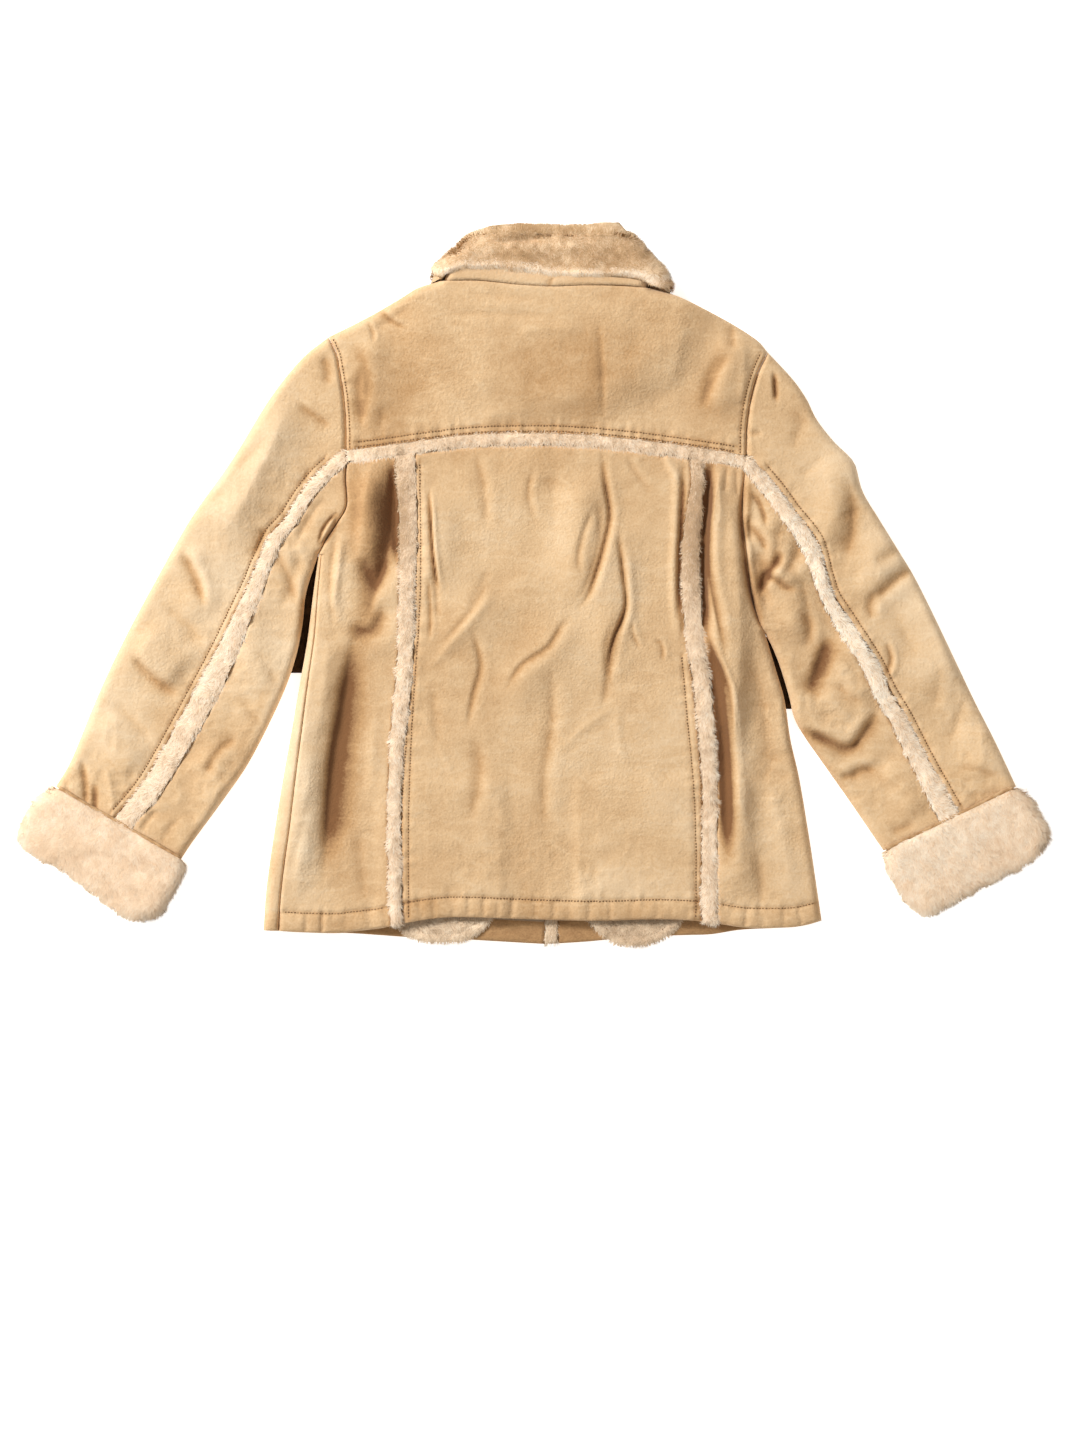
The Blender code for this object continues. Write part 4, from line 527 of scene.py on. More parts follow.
def ridges(points, rows, power):
    """The heights of a table's ridges: on each bowed spine, height times an S-shaped taper at both ends times
    exp(-(distance across / width) to a power), with its own width on each flank."""
    relief = np.zeros(points.shape[:-1])
    for k in range(len(rows["x0"])):
        fold = {name: column[k] for name, column in rows.items()}
        start = np.array([fold["x0"], fold["y0"]])
        run = np.array([fold["x1"], fold["y1"]]) - start
        size = np.linalg.norm(run)
        along = (points - start) @ run / size**2
        across = (points - start) @ np.array([-run[1], run[0]]) / size
        across = across - fold["bow"] * 4 * along * (1 - along)
        width = np.where(across > 0, fold["left"], fold["right"])
        taper = smoothstep(along / FOLD_TAPER) * smoothstep((1 - along) / FOLD_TAPER)
        relief += fold["height"] * taper * np.exp(-np.abs(across / width) ** power)
    return relief


def ovals(points, rows):
    """The sum of a table's soft ovals: amount times exp(-(x share squared + y share squared))."""
    total = np.zeros(points.shape[:-1])
    for x, y, across, up, amount in zip(*rows.values()):
        total += amount * np.exp(-((points[..., 0] - x) / across) ** 2 - ((points[..., 1] - y) / up) ** 2)
    return total


def laid_height(points):
    """The top of the upper layer without its fine creases: even, but for the large folds and the bags."""
    x, y = points[..., 0], points[..., 1]
    below = smoothstep((BAG_TOP - y) / BAG_FADE)
    bags = sum(BAG_LIFT * below * smoothstep((width / 2 + BAG_RIM - abs(x - centre)) / BAG_RIM)
               for centre, width in zip(POCKET_BAGS["centre_x"], POCKET_BAGS["width"]))
    return np.maximum(LAID_HEIGHT + bags + ridges(points, FOLDS, FOLD_POWER), LAID_HEIGHT - SAG + 1.7 * bags)


def lying_top(points):
    """The top of the upper layer where it is lifted too."""
    return laid_height(points) + lift(points)


def long_creases(points):
    """The heights of the long creases and the painted shade in them: a trough of height times
    exp(-(distance / width) to a power) along each curve, with S-shaped ends, and beside it a fold, a bell
    curve 2.3 widths away and 1.5 widths wide."""
    relief, painted_shade = np.zeros((2, *points.shape[:-1]))
    low, high = points.min(axis=(0, 1)) - CREASE_REACH, points.max(axis=(0, 1)) + CREASE_REACH
    for left, right, height, fold, shade, *places in LONG_CREASES:
        line = smooth_line(path(*places))
        if (line.max(axis=0) < low).any() or (line.min(axis=0) > high).any():
            continue
        gap, along, way = nearest(points, line)
        across = np.sum((points - at_length(line, along.reshape(-1)).reshape(points.shape)) * way, axis=-1)
        whole = length_along(line)[-1]
        ends = smoothstep(along / (LONG_TAPER * whole)) * smoothstep((whole - along) / (LONG_TAPER * whole))
        trough = ends * np.exp(-(gap / np.where(across > 0, left, right)) ** CREASE_POWER)
        relief += height * trough - height * fold * ends * bell(across - 2.3 * left, 1.5 * left)
        painted_shade += shade * trough
    return relief, painted_shade


def fine_relief(points):
    """The narrower creases, slow waves of two sizes, and small sharp ones, 0.6 less two noises without their
    signs, that are stronger in rumpled places. Also the painted shade in the long creases."""
    crumple = 0.9 * (0.6 - np.abs(soft_noise(points, 10, 3)) - np.abs(soft_noise(points, 19, 4)))
    along, painted_shade = long_creases(points)
    creases = ridges(points, CREASES, CREASE_POWER) + along
    rolling = waves(points, (0.8, 44, 1), (0.4, 17, 2))
    return creases + rolling + crumple * (0.3 + ovals(points, RUMPLED)), painted_shade


def lift(points):
    """How far both layers are lifted: over the collar's front, inside an oval, and towards each cuff, both
    with an S-shaped slope."""
    out = np.hypot(*np.moveaxis((points - LIFT_CENTRE) / LIFT_OVAL, -1, 0))
    raised = COLLAR_LIFT * smoothstep((LIFT_OUT - out) / LIFT_FADE)
    for lines in SLEEVE.values():
        mouth = smooth_line(lines["cuff"]["mouth"], 3)
        raised = raised + CUFF_LIFT * smoothstep(1 - nearest(points, mouth)[0] / CUFF_LIFT_REACH)
    return raised


def coons(bottom, top, left, right):
    """A plan filled in from its four edges: the blend across plus the blend up less that of the corners."""
    u = length_along(bottom)[None, :, None] / length_along(bottom)[-1]
    v = length_along(left)[:, None, None] / length_along(left)[-1]
    corners = ((1 - u) * (1 - v) * bottom[0] + u * (1 - v) * bottom[-1]
               + (1 - u) * v * top[0] + u * v * top[-1])
    return (1 - v) * bottom[None] + v * top[None] + (1 - u) * left[:, None] + u * right[:, None] - corners


# ---- walls

def stacked(plan, z):
    """The points of a plan at this height, or at a height of their own."""
    return np.concatenate([plan, np.broadcast_to(z, plan.shape[:-1])[..., None]], axis=-1)


def edge_distance(plan, folds_at):
    """The distance to the nearest folded edge, and the way in from it along the grid's own lines."""
    distance = np.full(plan.shape[:-1], 1e3)
    inward = np.zeros(plan.shape)
    up, across = (unit(way) for way in np.gradient(plan, axis=(0, 1)))
    ways = np.stack([up, -up, across, -across])
    for line, side in folds_at:
        near, _, normal = nearest(plan, line)
        near = np.maximum(near - LINE_SLACK, 0)
        best = np.sum(ways * normal * side, axis=-1).argmax(axis=0)
        way = np.take_along_axis(ways, best[None, ..., None], axis=0)[0]
        closer = near < distance
        distance[closer] = near[closer]
        inward[closer] = way[closer]
    return distance, inward


def drawn_in(plan, inward, distance, thick, radius=EDGE):
    """The plan of an inner face: moved inwards by the wall's thickness at the folded edge, and less and less
    up to one radius in."""
    return plan + inward * (thick * np.clip(1 - distance / radius, 0, 1))[..., None]


def from_edge(plan, edge):
    """How far each point of a plan lies from one of its four edges, along the grid, or from a line."""
    if not isinstance(edge, str):
        return nearest(plan, edge)[0]
    border = {"left": plan[:, :1], "right": plan[:, -1:], "bottom": plan[:1], "top": plan[-1:]}[edge]
    return np.linalg.norm(plan - border, axis=-1)


def hem_round(plan, hem, amount):
    """How far a face is moved towards the cloth's middle near its hem line: amount, less a quarter circle of
    it."""
    return 0.0 if hem is None else amount * (1 - rise(nearest(plan, hem)[0], HEM_REACH))


def sewn_down(points, rows):
    """Where cloth is stitched down: along each row a trough with a bell curve across it, and puckers of soft
    noise that fade in the same way. Also the painted shade along each trough."""
    dip, painted_shade = np.zeros((2, *points.shape[:-1]))
    for k, row in enumerate(rows):
        gap, along, _ = nearest(points, row)
        place = np.stack([along, np.full_like(along, ROW_APART * k)], axis=-1)
        pucker = waves(place, (0.9, 5, 11 + k), (0.4, 12, 31 + k))
        dip += -SEWN_DEPTH * bell(gap, SEWN_WIDTH) + pucker * bell(gap, SEWN_REACH)
        painted_shade += SEWN_SHADE * bell(gap, SEWN_SHADE_WIDTH)
    return dip, painted_shade


def nap_and_painted_light(points, relief):
    """How light the nap is, from 0 to 1: brushed places with painted light and shade, soft clouds, painted
    light on ridges and painted shade in creases, and painted shade in deep folds."""
    clouds = 0.045 * soft_noise(points, 70, 5) + 0.03 * soft_noise(points * (1, 0.6), 24, 6)
    light = 0.5 + ovals(points, BRUSHED_AND_PAINTED_LIGHT) + clouds + np.where(relief > 0, 0.03, 0.055) * np.clip(relief, -5, 5)
    return light - ridges(points, SHADED, FOLD_POWER)


def upper_wall(plan, folds_at, hem, half_seam, dips, rows=()):
    """Outer and inner points and the nap of the layer that shows, rounded down to mid-height at its folds.
    dips lists the edges and lines that turn down into a seam, with depth and reach, and rows its stitching."""
    distance, inward = edge_distance(plan, folds_at)
    relief, shade = fine_relief(plan)
    turned = sum(depth * (1 - rise(from_edge(plan, edge), reach)) for edge, depth, reach in dips)
    height, up, low = laid_height(plan), rise(distance), EDGE + half_seam
    raised = lift(plan) + low
    sewn, painted_shade = sewn_down(plan, rows)
    fine = np.clip(relief, RELIEF_LOW, RELIEF_HIGH) + sewn - turned - hem_round(plan, hem, HEM_ROLL)
    if hem is not None:
        fine += hem_creases(plan, hem)
        # painted shade on the turned-up hem band, which faces down
        painted_shade += HEM_SHADE * smoothstep((HEM_DEPTH + 2 - nearest(plan, hem)[0]) / 5)
    outer = stacked(plan, raised + (np.maximum(height + fine, THIN_TOP) - low) * up)
    inner_height = height - PILE_WALL + hem_round(plan, hem, HEM_TUCK) + np.minimum(fine, 0)
    inner_height = np.maximum(inner_height, THIN_INSIDE)
    inner = stacked(drawn_in(plan, inward, distance, PILE_WALL), raised + (inner_height - low) * up)
    # the nap carries painted light and shade: by relief, in shaded folds, long creases, stitched rows and the
    # hem band
    return outer, inner, nap_and_painted_light(plan, relief) - painted_shade - shade


def hem_creases(plan, hem):
    """The puckers of the turned-up hem: narrow dents of depth times exp(-(distance / width) to the 1.5th), at
    uneven places along it, a low roll along its middle and a trough at its stitches."""
    gap, along, _ = nearest(plan, hem)
    draw = np.random.default_rng(8)
    places = np.cumsum(draw.uniform(*PUCKER_PITCH, HEM_PUCKERS))
    depths, widths = draw.uniform(*PUCKER_DEPTH, HEM_PUCKERS), draw.uniform(*PUCKER_WIDTH, HEM_PUCKERS)
    dent = sum(-depth * np.exp(-np.abs((along - at) / wide) ** 1.5)
               for at, depth, wide in zip(places, depths, widths))
    band = smoothstep(gap / 3) * smoothstep((HEM_DEPTH + 3 - gap) / 7)
    return dent * band + 0.7 * bell(gap - 9, 6) - 0.5 * bell(gap - HEM_DEPTH, 2)


def lower_wall(plan, folds_at, hem=None, half_seam=0.0):
    """Outer and inner points of the layer that lies on the surface, rounded up to mid-height at its edges."""
    distance, inward = edge_distance(plan, folds_at)
    up, high = rise(distance), EDGE - half_seam
    raised = lift(plan) + high
    inner_height = PRESSED_WALL - hem_round(plan, hem, FRONT_HEM_TUCK)
    inner = stacked(drawn_in(plan, inward, distance, PILE_WALL), raised - (high - inner_height) * up)
    return stacked(plan, raised - high * up), inner


def kept(count, *must):
    """Every fourth of this many rows or columns, with the last, and those that must be among them."""
    return np.unique(np.concatenate([np.arange(0, count, INNER_SKIP), [count - 1], np.array(must, int)]))


def kept_of(grid):
    """The kept rows and columns of a whole grid."""
    return kept(grid.shape[0]), kept(grid.shape[1])


def closed_wall(outer, inner, keep_rows, keep_columns, cells=None):
    """The points and triangles of one closed wall between two grids. The outer face takes every point and
    the inner face the kept rows and columns, and a rim joins each outer border edge to the inner points
    nearest to its ends. Points that fall together are one. Also gives where each point comes from."""
    rows, columns = outer.shape[:2]
    cells = np.ones((rows - 1, columns - 1), bool) if cells is None else cells
    fine = np.arange(rows * columns).reshape(rows, columns)
    coarse = rows * columns + np.arange(len(keep_rows) * len(keep_columns)).reshape(len(keep_rows), -1)
    near_row = np.abs(np.arange(rows)[:, None] - keep_rows).argmin(axis=1)
    near_column = np.abs(np.arange(columns)[:, None] - keep_columns).argmin(axis=1)
    under = coarse[near_row[:, None], near_column]
    points = np.concatenate([outer.reshape(-1, 3), inner[np.ix_(keep_rows, keep_columns)].reshape(-1, 3)])
    _, first, same = np.unique(np.round(points, 3), axis=0, return_index=True, return_inverse=True)
    same = same.reshape(-1)
    face = triangles(same[squares(fine)[cells]])
    back = triangles(same[squares(coarse)[cells[keep_rows[:-1]][:, keep_columns[:-1]]][:, ::-1]])
    edges = np.concatenate([face[:, [0, 1]], face[:, [1, 2]], face[:, [2, 0]]])
    code, reverse = edges @ (len(first), 1), edges[:, ::-1] @ (len(first), 1)
    border = edges[~np.isin(code, reverse)]
    below = np.zeros(len(first), int)
    below[same[fine.reshape(-1)]] = same[under.reshape(-1)]
    a, b = border.T
    rim = triangles(np.column_stack([b, a, below[a], below[b]]))
    return points[first], facing_out(points[first], np.concatenate([face, back, rim])), first


def squares(ids):
    """The corner numbers of every square of a grid of point numbers, going round."""
    return np.stack([ids[:-1, :-1], ids[:-1, 1:], ids[1:, 1:], ids[1:, :-1]], axis=-1)


def triangles(quads):
    """Two triangles for each quad, without those that have a corner twice."""
    quads = quads.reshape(-1, 4)
    pair = np.concatenate([quads[:, [0, 1, 2]], quads[:, [0, 2, 3]]])
    good = (pair[:, 0] != pair[:, 1]) & (pair[:, 1] != pair[:, 2]) & (pair[:, 2] != pair[:, 0])
    return pair[good]


def facing_out(points, faces):
    """The triangles of a closed body, all turned round where the volume that they enclose is negative."""
    corner = points[faces]
    volume = np.sum(corner[:, 0] * np.cross(corner[:, 1], corner[:, 2]))
    return faces if volume > 0 else faces[:, ::-1]


def cell_heights(surface):
    """The height of each square of a grid of points: the mean of two opposite corners."""
    return (surface[:-1, :-1, 2] + surface[1:, 1:, 2]) / 2


def make_piece(name, points, faces, finish, values=None):
    """Puts points in millimetres and triangles into a smooth mesh that moves with the jacket. values are
    numbers on its points for the material to read."""
    mesh = bpy.data.meshes.new(name)
    mesh.vertices.add(len(points))
    mesh.vertices.foreach_set("co", (points * MM).astype(np.float32).ravel())
    mesh.loops.add(3 * len(faces))
    mesh.loops.foreach_set("vertex_index", faces.astype(np.int32).ravel())
    mesh.polygons.add(len(faces))
    mesh.polygons.foreach_set("loop_start", np.arange(0, 3 * len(faces), 3, dtype=np.int32))
    mesh.update(calc_edges=True)
    mesh.shade_smooth()
    for label, numbers in (values or {}).items():
        mesh.attributes.new(label, "FLOAT", "POINT").data.foreach_set("value", numbers.astype(np.float32))
    mesh.materials.append(finish)
    obj = bpy.data.objects.new(name, mesh)
    bpy.context.scene.collection.objects.link(obj)
    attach(obj, "root")
    return obj


def suede_panel(node, layers, size, rests_on, finish="suede", lining=None, keep=None, cells=None):
    """A closed cloth wall that stands for its solid: layers are its outer and inner points and its nap,
    lining says where its inner face is bare pile, and keep which rows and columns the inner face has."""
    outer, inner, tone = layers
    keep = tuple(np.arange(count) for count in tone.shape) if keep is None else keep
    points, faces, source = closed_wall(outer, inner, *keep, cells)
    inside = np.zeros([len(each) for each in keep]) if lining is None else lining
    # inner faces get a nap of 0.2: darker suede, and painted shade on the turn-up under the back's hem
    values = {"nap": np.concatenate([tone.reshape(-1), np.full(inside.size, 0.2)])[source],
              "lining": np.concatenate([np.zeros(tone.size), inside.reshape(-1)])[source]}
    obj = make_piece(f"{node}_cloth", points, faces, MATERIALS[finish], values)
    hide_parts(node)
    SHEETS.append((obj, size, rests_on, []))
    return obj


# ---- pile and stitching

def surface_normals(surface):
    """The unit normals of a grid of points: the cross product of its two diagonals, at each square."""
    a, b, c, d = surface[:-1, :-1], surface[:-1, 1:], surface[1:, 1:], surface[1:, :-1]
    normal = np.cross(c - a, d - b)
    area = np.linalg.norm(normal, axis=-1, keepdims=True)
    return normal / np.maximum(area, 1e-9), area[..., 0] / 2


def pile_blades(name, surface, blades, comb, seed, slot, density=None, finish=None, wild=1.0):
    """Pile on a grid of points: blades of three triangles, each at a random place on it. A blade leans from
    the normal towards comb, turned by soft swirls and a little at random, more so where wild is larger, and
    bends over halfway."""
    count, length, width, upright = blades
    draw = np.random.default_rng(seed)
    normal, area = surface_normals(surface)
    middle = cell_heights(surface)
    if np.sum(normal[..., 2] * area * (middle > np.median(middle))) < 0:
        normal = -normal
    weight = (area * (1 if density is None else density)).reshape(-1)
    cell = draw.choice(len(weight), count, p=weight / weight.sum())
    j, i = np.divmod(cell, area.shape[1])
    u, v = draw.uniform(size=(2, count, 1))
    root = ((surface[j, i] * (1 - u) + surface[j, i + 1] * u) * (1 - v)
            + (surface[j + 1, i] * (1 - u) + surface[j + 1, i + 1] * u) * v)
    out = normal[j, i]
    swirl = waves(root, (0.9, 17, seed + 1), (0.6 * wild, 6, seed + 2)) + draw.normal(0, 0.22 * wild, count)
    lay = np.broadcast_to(comb, root.shape) if np.ndim(comb) == 1 else comb[j, i]
    lay = np.column_stack([lay[:, 0] * np.cos(swirl) - lay[:, 1] * np.sin(swirl),
                           lay[:, 0] * np.sin(swirl) + lay[:, 1] * np.cos(swirl), lay[:, 2]])
    stand = upright * (1 + 0.5 * soft_noise(root, 8, seed + 3))[:, None]
    way = unit(out * stand + lay + draw.normal(0, 0.16, root.shape))
    tuft_and_painted_light = 0.5 + 0.3 * soft_noise(root, 4.2, seed + 4) + 0.2 * soft_noise(root, 9, seed + 6)
    tuft_and_painted_light += 0.34 * draw.uniform(-1, 1, count)
    # PILE_SHADES adds painted shade and light as well as the pile's own mottling
    tuft_and_painted_light += 2 * ovals(root, PILE_SHADES)
    long = length * (1 + 0.25 * soft_noise(root, 9, seed + 5) + draw.uniform(-0.2, 0.2, count))[:, None]
    side = unit(np.cross(way, out)) * (width / 2 * draw.uniform(0.8, 1.25, (count, 1)))
    halfway = root + way * long * 0.55 + out * long * 0.06
    tip = root + way * long - out * long * 0.08
    blade = np.stack([root - side, root + side, halfway - side * 0.8, halfway + side * 0.8, tip], axis=1)
    blade[..., 2] = np.maximum(blade[..., 2], 0.4)
    corners = np.array([[0, 1, 3], [0, 3, 2], [2, 3, 4]])
    faces = (np.arange(count)[:, None, None] * 5 + corners).reshape(-1, 3)
    values = {"reach": np.tile([0.0, 0.0, 0.55, 0.55, 1.0], count), "tuft_and_painted_light": np.repeat(tuft_and_painted_light, 5)}
    obj = make_piece(name, blade.reshape(-1, 3), faces, MATERIALS[finish or slot], values)
    lit = unit(out * 0.5 + way * 0.3 + (-0.12, 0.08, 0.55) + draw.normal(0, 0.12, out.shape))
    obj.data.normals_split_custom_set_from_vertices(np.repeat(lit, 5, axis=0).tolist())
    obj.visible_shadow = False      # light passes between the hairs, so the blades don't darken each other
    return obj


def on_surface(path, surface):
    """The heights of a face of the jacket at these places: the mean of its four nearest grid points, each
    weighed by the inverse of its squared distance."""
    flat = surface.reshape(-1, 3)
    close = flat[(flat[:, 0] > path[:, 0].min() - 6) & (flat[:, 0] < path[:, 0].max() + 6)]
    gap = np.sum((path[:, None] - close[None, :, :2]) ** 2, axis=-1)
    four = np.argpartition(gap, 4, axis=1)[:, :4]
    weight = 1 / (np.take_along_axis(gap, four, axis=1) + 0.05)
    return np.sum(close[four, 2] * weight, axis=1) / weight.sum(axis=1)


def stitching(name, surface, rows, seed):
    """Topstitching on a face: every stitch is an arched bar, a triangular section at its two ends and its
    middle, with its ends sunk into the cloth and a small wander to each side."""
    draw = np.random.default_rng(seed)
    sections, count = [], 0
    for row in rows:
        places = np.arange(STITCH_PITCH, length_along(row)[-1] - STITCH_PITCH, STITCH_PITCH)
        middle = at_length(row, places) + draw.normal(0, STITCH_WANDER, (len(places), 2))
        way = unit(at_length(row, places + 0.5) - at_length(row, places - 0.5))
        side = np.column_stack([-way[:, 1], way[:, 0]])
        base = on_surface(middle, surface)
        for end, height in ((-0.5, STITCH_SUNK), (0.0, STITCH_RISE), (0.5, STITCH_SUNK)):
            place = middle + way * STITCH * end
            for across, up in ((-1, 0.0), (0, 1.0), (1, 0.0)):
                z = base + height * (0.35 + 0.65 * up) + up * 0.12
                sections.append(np.column_stack([place + side * STITCH_HALF * across, z]))
        count += len(places)
    runs = [np.stack(sections[k:k + 9], axis=1) for k in range(0, len(sections), 9)]
    points = np.concatenate(runs).reshape(-1, 3)
    corners = np.array([[0, 3, 4], [0, 4, 1], [1, 4, 5], [1, 5, 2], [2, 5, 3], [2, 3, 0], [3, 6, 7], [3, 7, 4],
                        [4, 7, 8], [4, 8, 5], [5, 8, 6], [5, 6, 3], [0, 1, 2], [6, 8, 7]])
    faces = (np.arange(count)[:, None, None] * 9 + corners).reshape(-1, 3)
    return make_piece(name, points, faces, MATERIALS["thread"])


def pile_body(node, points, faces, finish="pile_body"):
    """The body under some pile, which stands for its solid."""
    obj = make_piece(f"{node}_body", points, faces, MATERIALS[finish])
    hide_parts(node)
    return obj


def tube(sections):
    """The triangles of a tube between closed sections of equal count, with both ends closed."""
    count, sides = sections.shape[:2]
    ids = np.arange(count * sides).reshape(count, sides)
    around = np.concatenate([ids, ids[:, :1]], axis=1)
    faces = triangles(squares(around).reshape(-1, 4)[:, ::-1])
    fan = np.arange(1, sides - 1)
    first = np.column_stack([np.zeros_like(fan), fan, fan + 1])
    last = (count - 1) * sides + first[:, ::-1]
    return facing_out(sections.reshape(-1, 3), np.concatenate([faces, first, last]))


def pile_strip(node, edge_a, edge_b, top, seed, depth=STRIP_DEPTH, rise_above=STRIP_RISE, comb=None,
               blades="strip"):
    """A strip of bare pile along a seam: a rounded bar between two edge lines, bulging and uneven above the
    panels, with blades combed along it, or in the direction given, and out over both its edges."""
    whole = length_along(edge_a)[-1]
    stations = steps(whole, STRIP_STEPS, STRIP_STEPS, STRIP_GRID) / whole
    along = length_along(edge_a) / whole
    edge_a, edge_b = at_fraction(edge_a, stations), at_fraction(edge_b, stations)
    end = rise(np.minimum(stations, 1 - stations) * whole, 4.0)
    top = np.interp(stations, along, top) - 3.2 * (1 - end)
    section = table(
        "across up", (0, -depth), (0, -0.4), (-0.06, 0.34), (0.1, 0.7), (0.3, 0.93), (0.5, 1), (0.7, 0.93),
        (0.9, 0.7), (1.06, 0.34), (1, -0.4), (1, -depth))
    up = np.where(section["up"] > 0, section["up"] * rise_above, section["up"])
    across = section["across"][None, :, None]
    wide = np.linalg.norm(edge_b - edge_a, axis=1)[:, None, None]
    over = STRIP_OVERLAP / wide
    across = across + np.where(across < 0, -over, np.where(across > 1, over, 0))
    plan = edge_a[:, None] * (1 - across) + edge_b[:, None] * across
    lumps = waves(plan, (0.9, 8, seed), (0.6, 3.6, seed + 1))
    z = np.maximum(top[:, None] + up[None, :] + lumps * (section["up"] > 0.3), 0.2)
    sections = stacked(plan, z)
    body = pile_body(node, sections.reshape(-1, 3), tube(sections))
    surface = sections[:, 1:-1]
    run = unit(np.gradient(surface[..., :2], axis=0))
    run = run * -np.sign(run[..., 1].mean()) if comb is None else np.broadcast_to(comb, run.shape)
    outwards = (section["across"][1:-1] - 0.5)[None, :, None] * 2
    lay = 0.8 * run + (edge_b - edge_a)[:, None] / wide * outwards * 0.22
    lay = stacked(lay, 0.0)[:-1, :-1]
    per_mm, *sizes = BLADES[blades]
    count = int(per_mm * whole * (wide.mean() + 6))
    fur = pile_blades(f"{node}_pile", surface, (count, *sizes), lay, seed + 7, "strip_pile", wild=1.3)
    SHEETS.append((body, (float(wide.mean() + 2 * depth), whole, 0.9), ["front_left_cloth"], [fur]))


# ---- shared lines, made once

SIDES = {"left": 1.0, "right": -1.0}                   # the way in from each side
SLEEVE = {
    "left": dict(outer=SLEEVE_OUTER_LEFT, inner=SLEEVE_INNER_LEFT, strip=SLEEVE_STRIP_LEFT, cuff=CUFF_LEFT),
    "right": dict(outer=SLEEVE_OUTER_RIGHT, inner=SLEEVE_INNER_RIGHT, strip=SLEEVE_STRIP_RIGHT,
                  cuff=CUFF_RIGHT),
}
HEM_LINE, FRONT_HEM_LINE = smooth_line(BACK_HEM), smooth_line(FRONT_HEM)
YOKE_LINE, NECK_LINE = smooth_line(YOKE_SEAM), smooth_line(NECKLINE)
FRONT_NECK = {"left": smooth_line(FRONT_NECK_LEFT), "right": smooth_line(FRONT_NECK_RIGHT)}
BOTH_FRONTS = ["front_left_cloth", "front_right_cloth"]
SHEETS = []
MATERIALS = {}


def side_of_body(name):
    """The lines of one side of the body, and where its armhole and side edge are divided into rows."""
    left = name == "left"
    armhole = smooth_line(ARMHOLE_LEFT if left else ARMHOLE_RIGHT)
    side = smooth_line(SIDE_LEFT if left else SIDE_RIGHT)
    shoulder = smooth_line(SHOULDER_LEFT if left else SHOULDER_RIGHT)[::-1]
    strip_table = STRIP_LEFT if left else STRIP_RIGHT
    along = length_along(armhole)
    yoke_y = YOKE_SEAM["y"][0 if left else -1]
    upper_end, lower_start = np.interp([-(yoke_y + YOKE_STRIP_HALF), -(yoke_y - YOKE_STRIP_HALF - SEAM)],
                                       -armhole[:, 1], along)
    side_length = length_along(side)[-1]
    return {
        "armhole": armhole, "side": side, "strip": smooth_line(strip_table), "strip_table": strip_table,
        "side_steps": side_length - steps(side_length, round_start=HEM_STEPS),
        "shoulder": shoulder,
        "upper_steps": steps(upper_end, round_start=ROUND_STEPS),
        "lower_steps": lower_start + steps(along[-1] - lower_start, round_end=ROUND_STEPS),
    }


BODY = {name: side_of_body(name) for name in SIDES}


def armhole_points(name, part, piece):
    """One part of an armhole, from its top down, moved half a seam into the body or into the sleeve."""
    body = BODY[name]
    way = SIDES[name] if piece == "body" else -SIDES[name]
    along, side = length_along(body["armhole"]), normals(body["armhole"])
    across = np.column_stack([np.interp(body[part], along, side[:, k]) for k in (0, 1)])
    return at_length(body["armhole"], body[part]) + across * way * SEAM / 2


def body_edge(name):
    """One side edge of the body from its hem up to the yoke strip: the side, then the lower armhole."""
    side = at_length(BODY[name]["side"], BODY[name]["side_steps"])
    return np.vstack([side[:-1], armhole_points(name, "lower_steps", "body")[::-1]])


def strip_edges(name, edge):
    """The middle of a back pile strip and its half width, at the rows of the side panel beside it."""
    body = BODY[name]
    share = (edge[:, 1] - edge[0, 1]) / (edge[-1, 1] - edge[0, 1])
    line, widths = body["strip"], body["strip_table"]
    low = y_on(HEM_LINE, line[-1, 0])
    heights = low + share * (y_on(YOKE_LINE, line[0, 0]) - YOKE_STRIP_HALF - SEAM - low)
    return at_height(line, heights), np.interp(-heights, -widths["y"], widths["half_width"])


def strip_side(name, way, edge, clearance=0.0):
    """One edge of a back pile strip, its left (-1) or right (1) one, at the rows of the edge given."""
    middle, half = strip_edges(name, edge)
    line = middle + np.column_stack([way * (half + clearance), np.zeros_like(half)])
    line[0, 1] = y_on(HEM_LINE, line[0, 0])
    line[-1, 1] = y_on(YOKE_LINE, line[-1, 0]) - YOKE_STRIP_HALF - SEAM
    return line


# ---- the back

def row_across(line, start, end, shares, drop=0.0):
    """A row of points under a line that crosses the garment, met at both ends by the edges given."""
    x = start[0] + (end[0] - start[0]) * shares
    y = y_on(line, x) - drop
    lean = np.clip(1 - shares / 0.12, 0, 1) * (start[1] - y[0])
    lean += np.clip(1 - (1 - shares) / 0.12, 0, 1) * (end[1] - y[-1])
    return np.column_stack([x, y + lean])


def back_panel(name, left, right, folds_at, dips, rows, size):
    """One back panel between its left and right edges, from the hem up to the yoke's pile strip."""
    wide = right[0, 0] - left[0, 0]
    shares = steps(wide, round_end=ROUND_STEPS if folds_at else ()) / wide
    bottom = row_across(HEM_LINE, left[0], right[0], shares)
    top = row_across(YOKE_LINE, left[-1], right[-1], shares, YOKE_STRIP_HALF + SEAM)
    plan = coons(bottom, top, left, right)
    hem_row = beside(HEM_LINE, HEM_DEPTH)
    hem_row = hem_row[(hem_row[:, 0] > left[0, 0] + 3) & (hem_row[:, 0] < right[0, 0] - 3)]
    layers = upper_wall(plan, folds_at, HEM_LINE, SEAM / 2, dips, [*rows, hem_row])
    node = "back_centre" if name == "centre" else f"back_side_{name}"
    suede_panel(node, layers, size, BOTH_FRONTS, keep=kept_of(plan))
    stitching(f"{node}_stitching", layers[0], [*rows, hem_row], 50 + len(name))


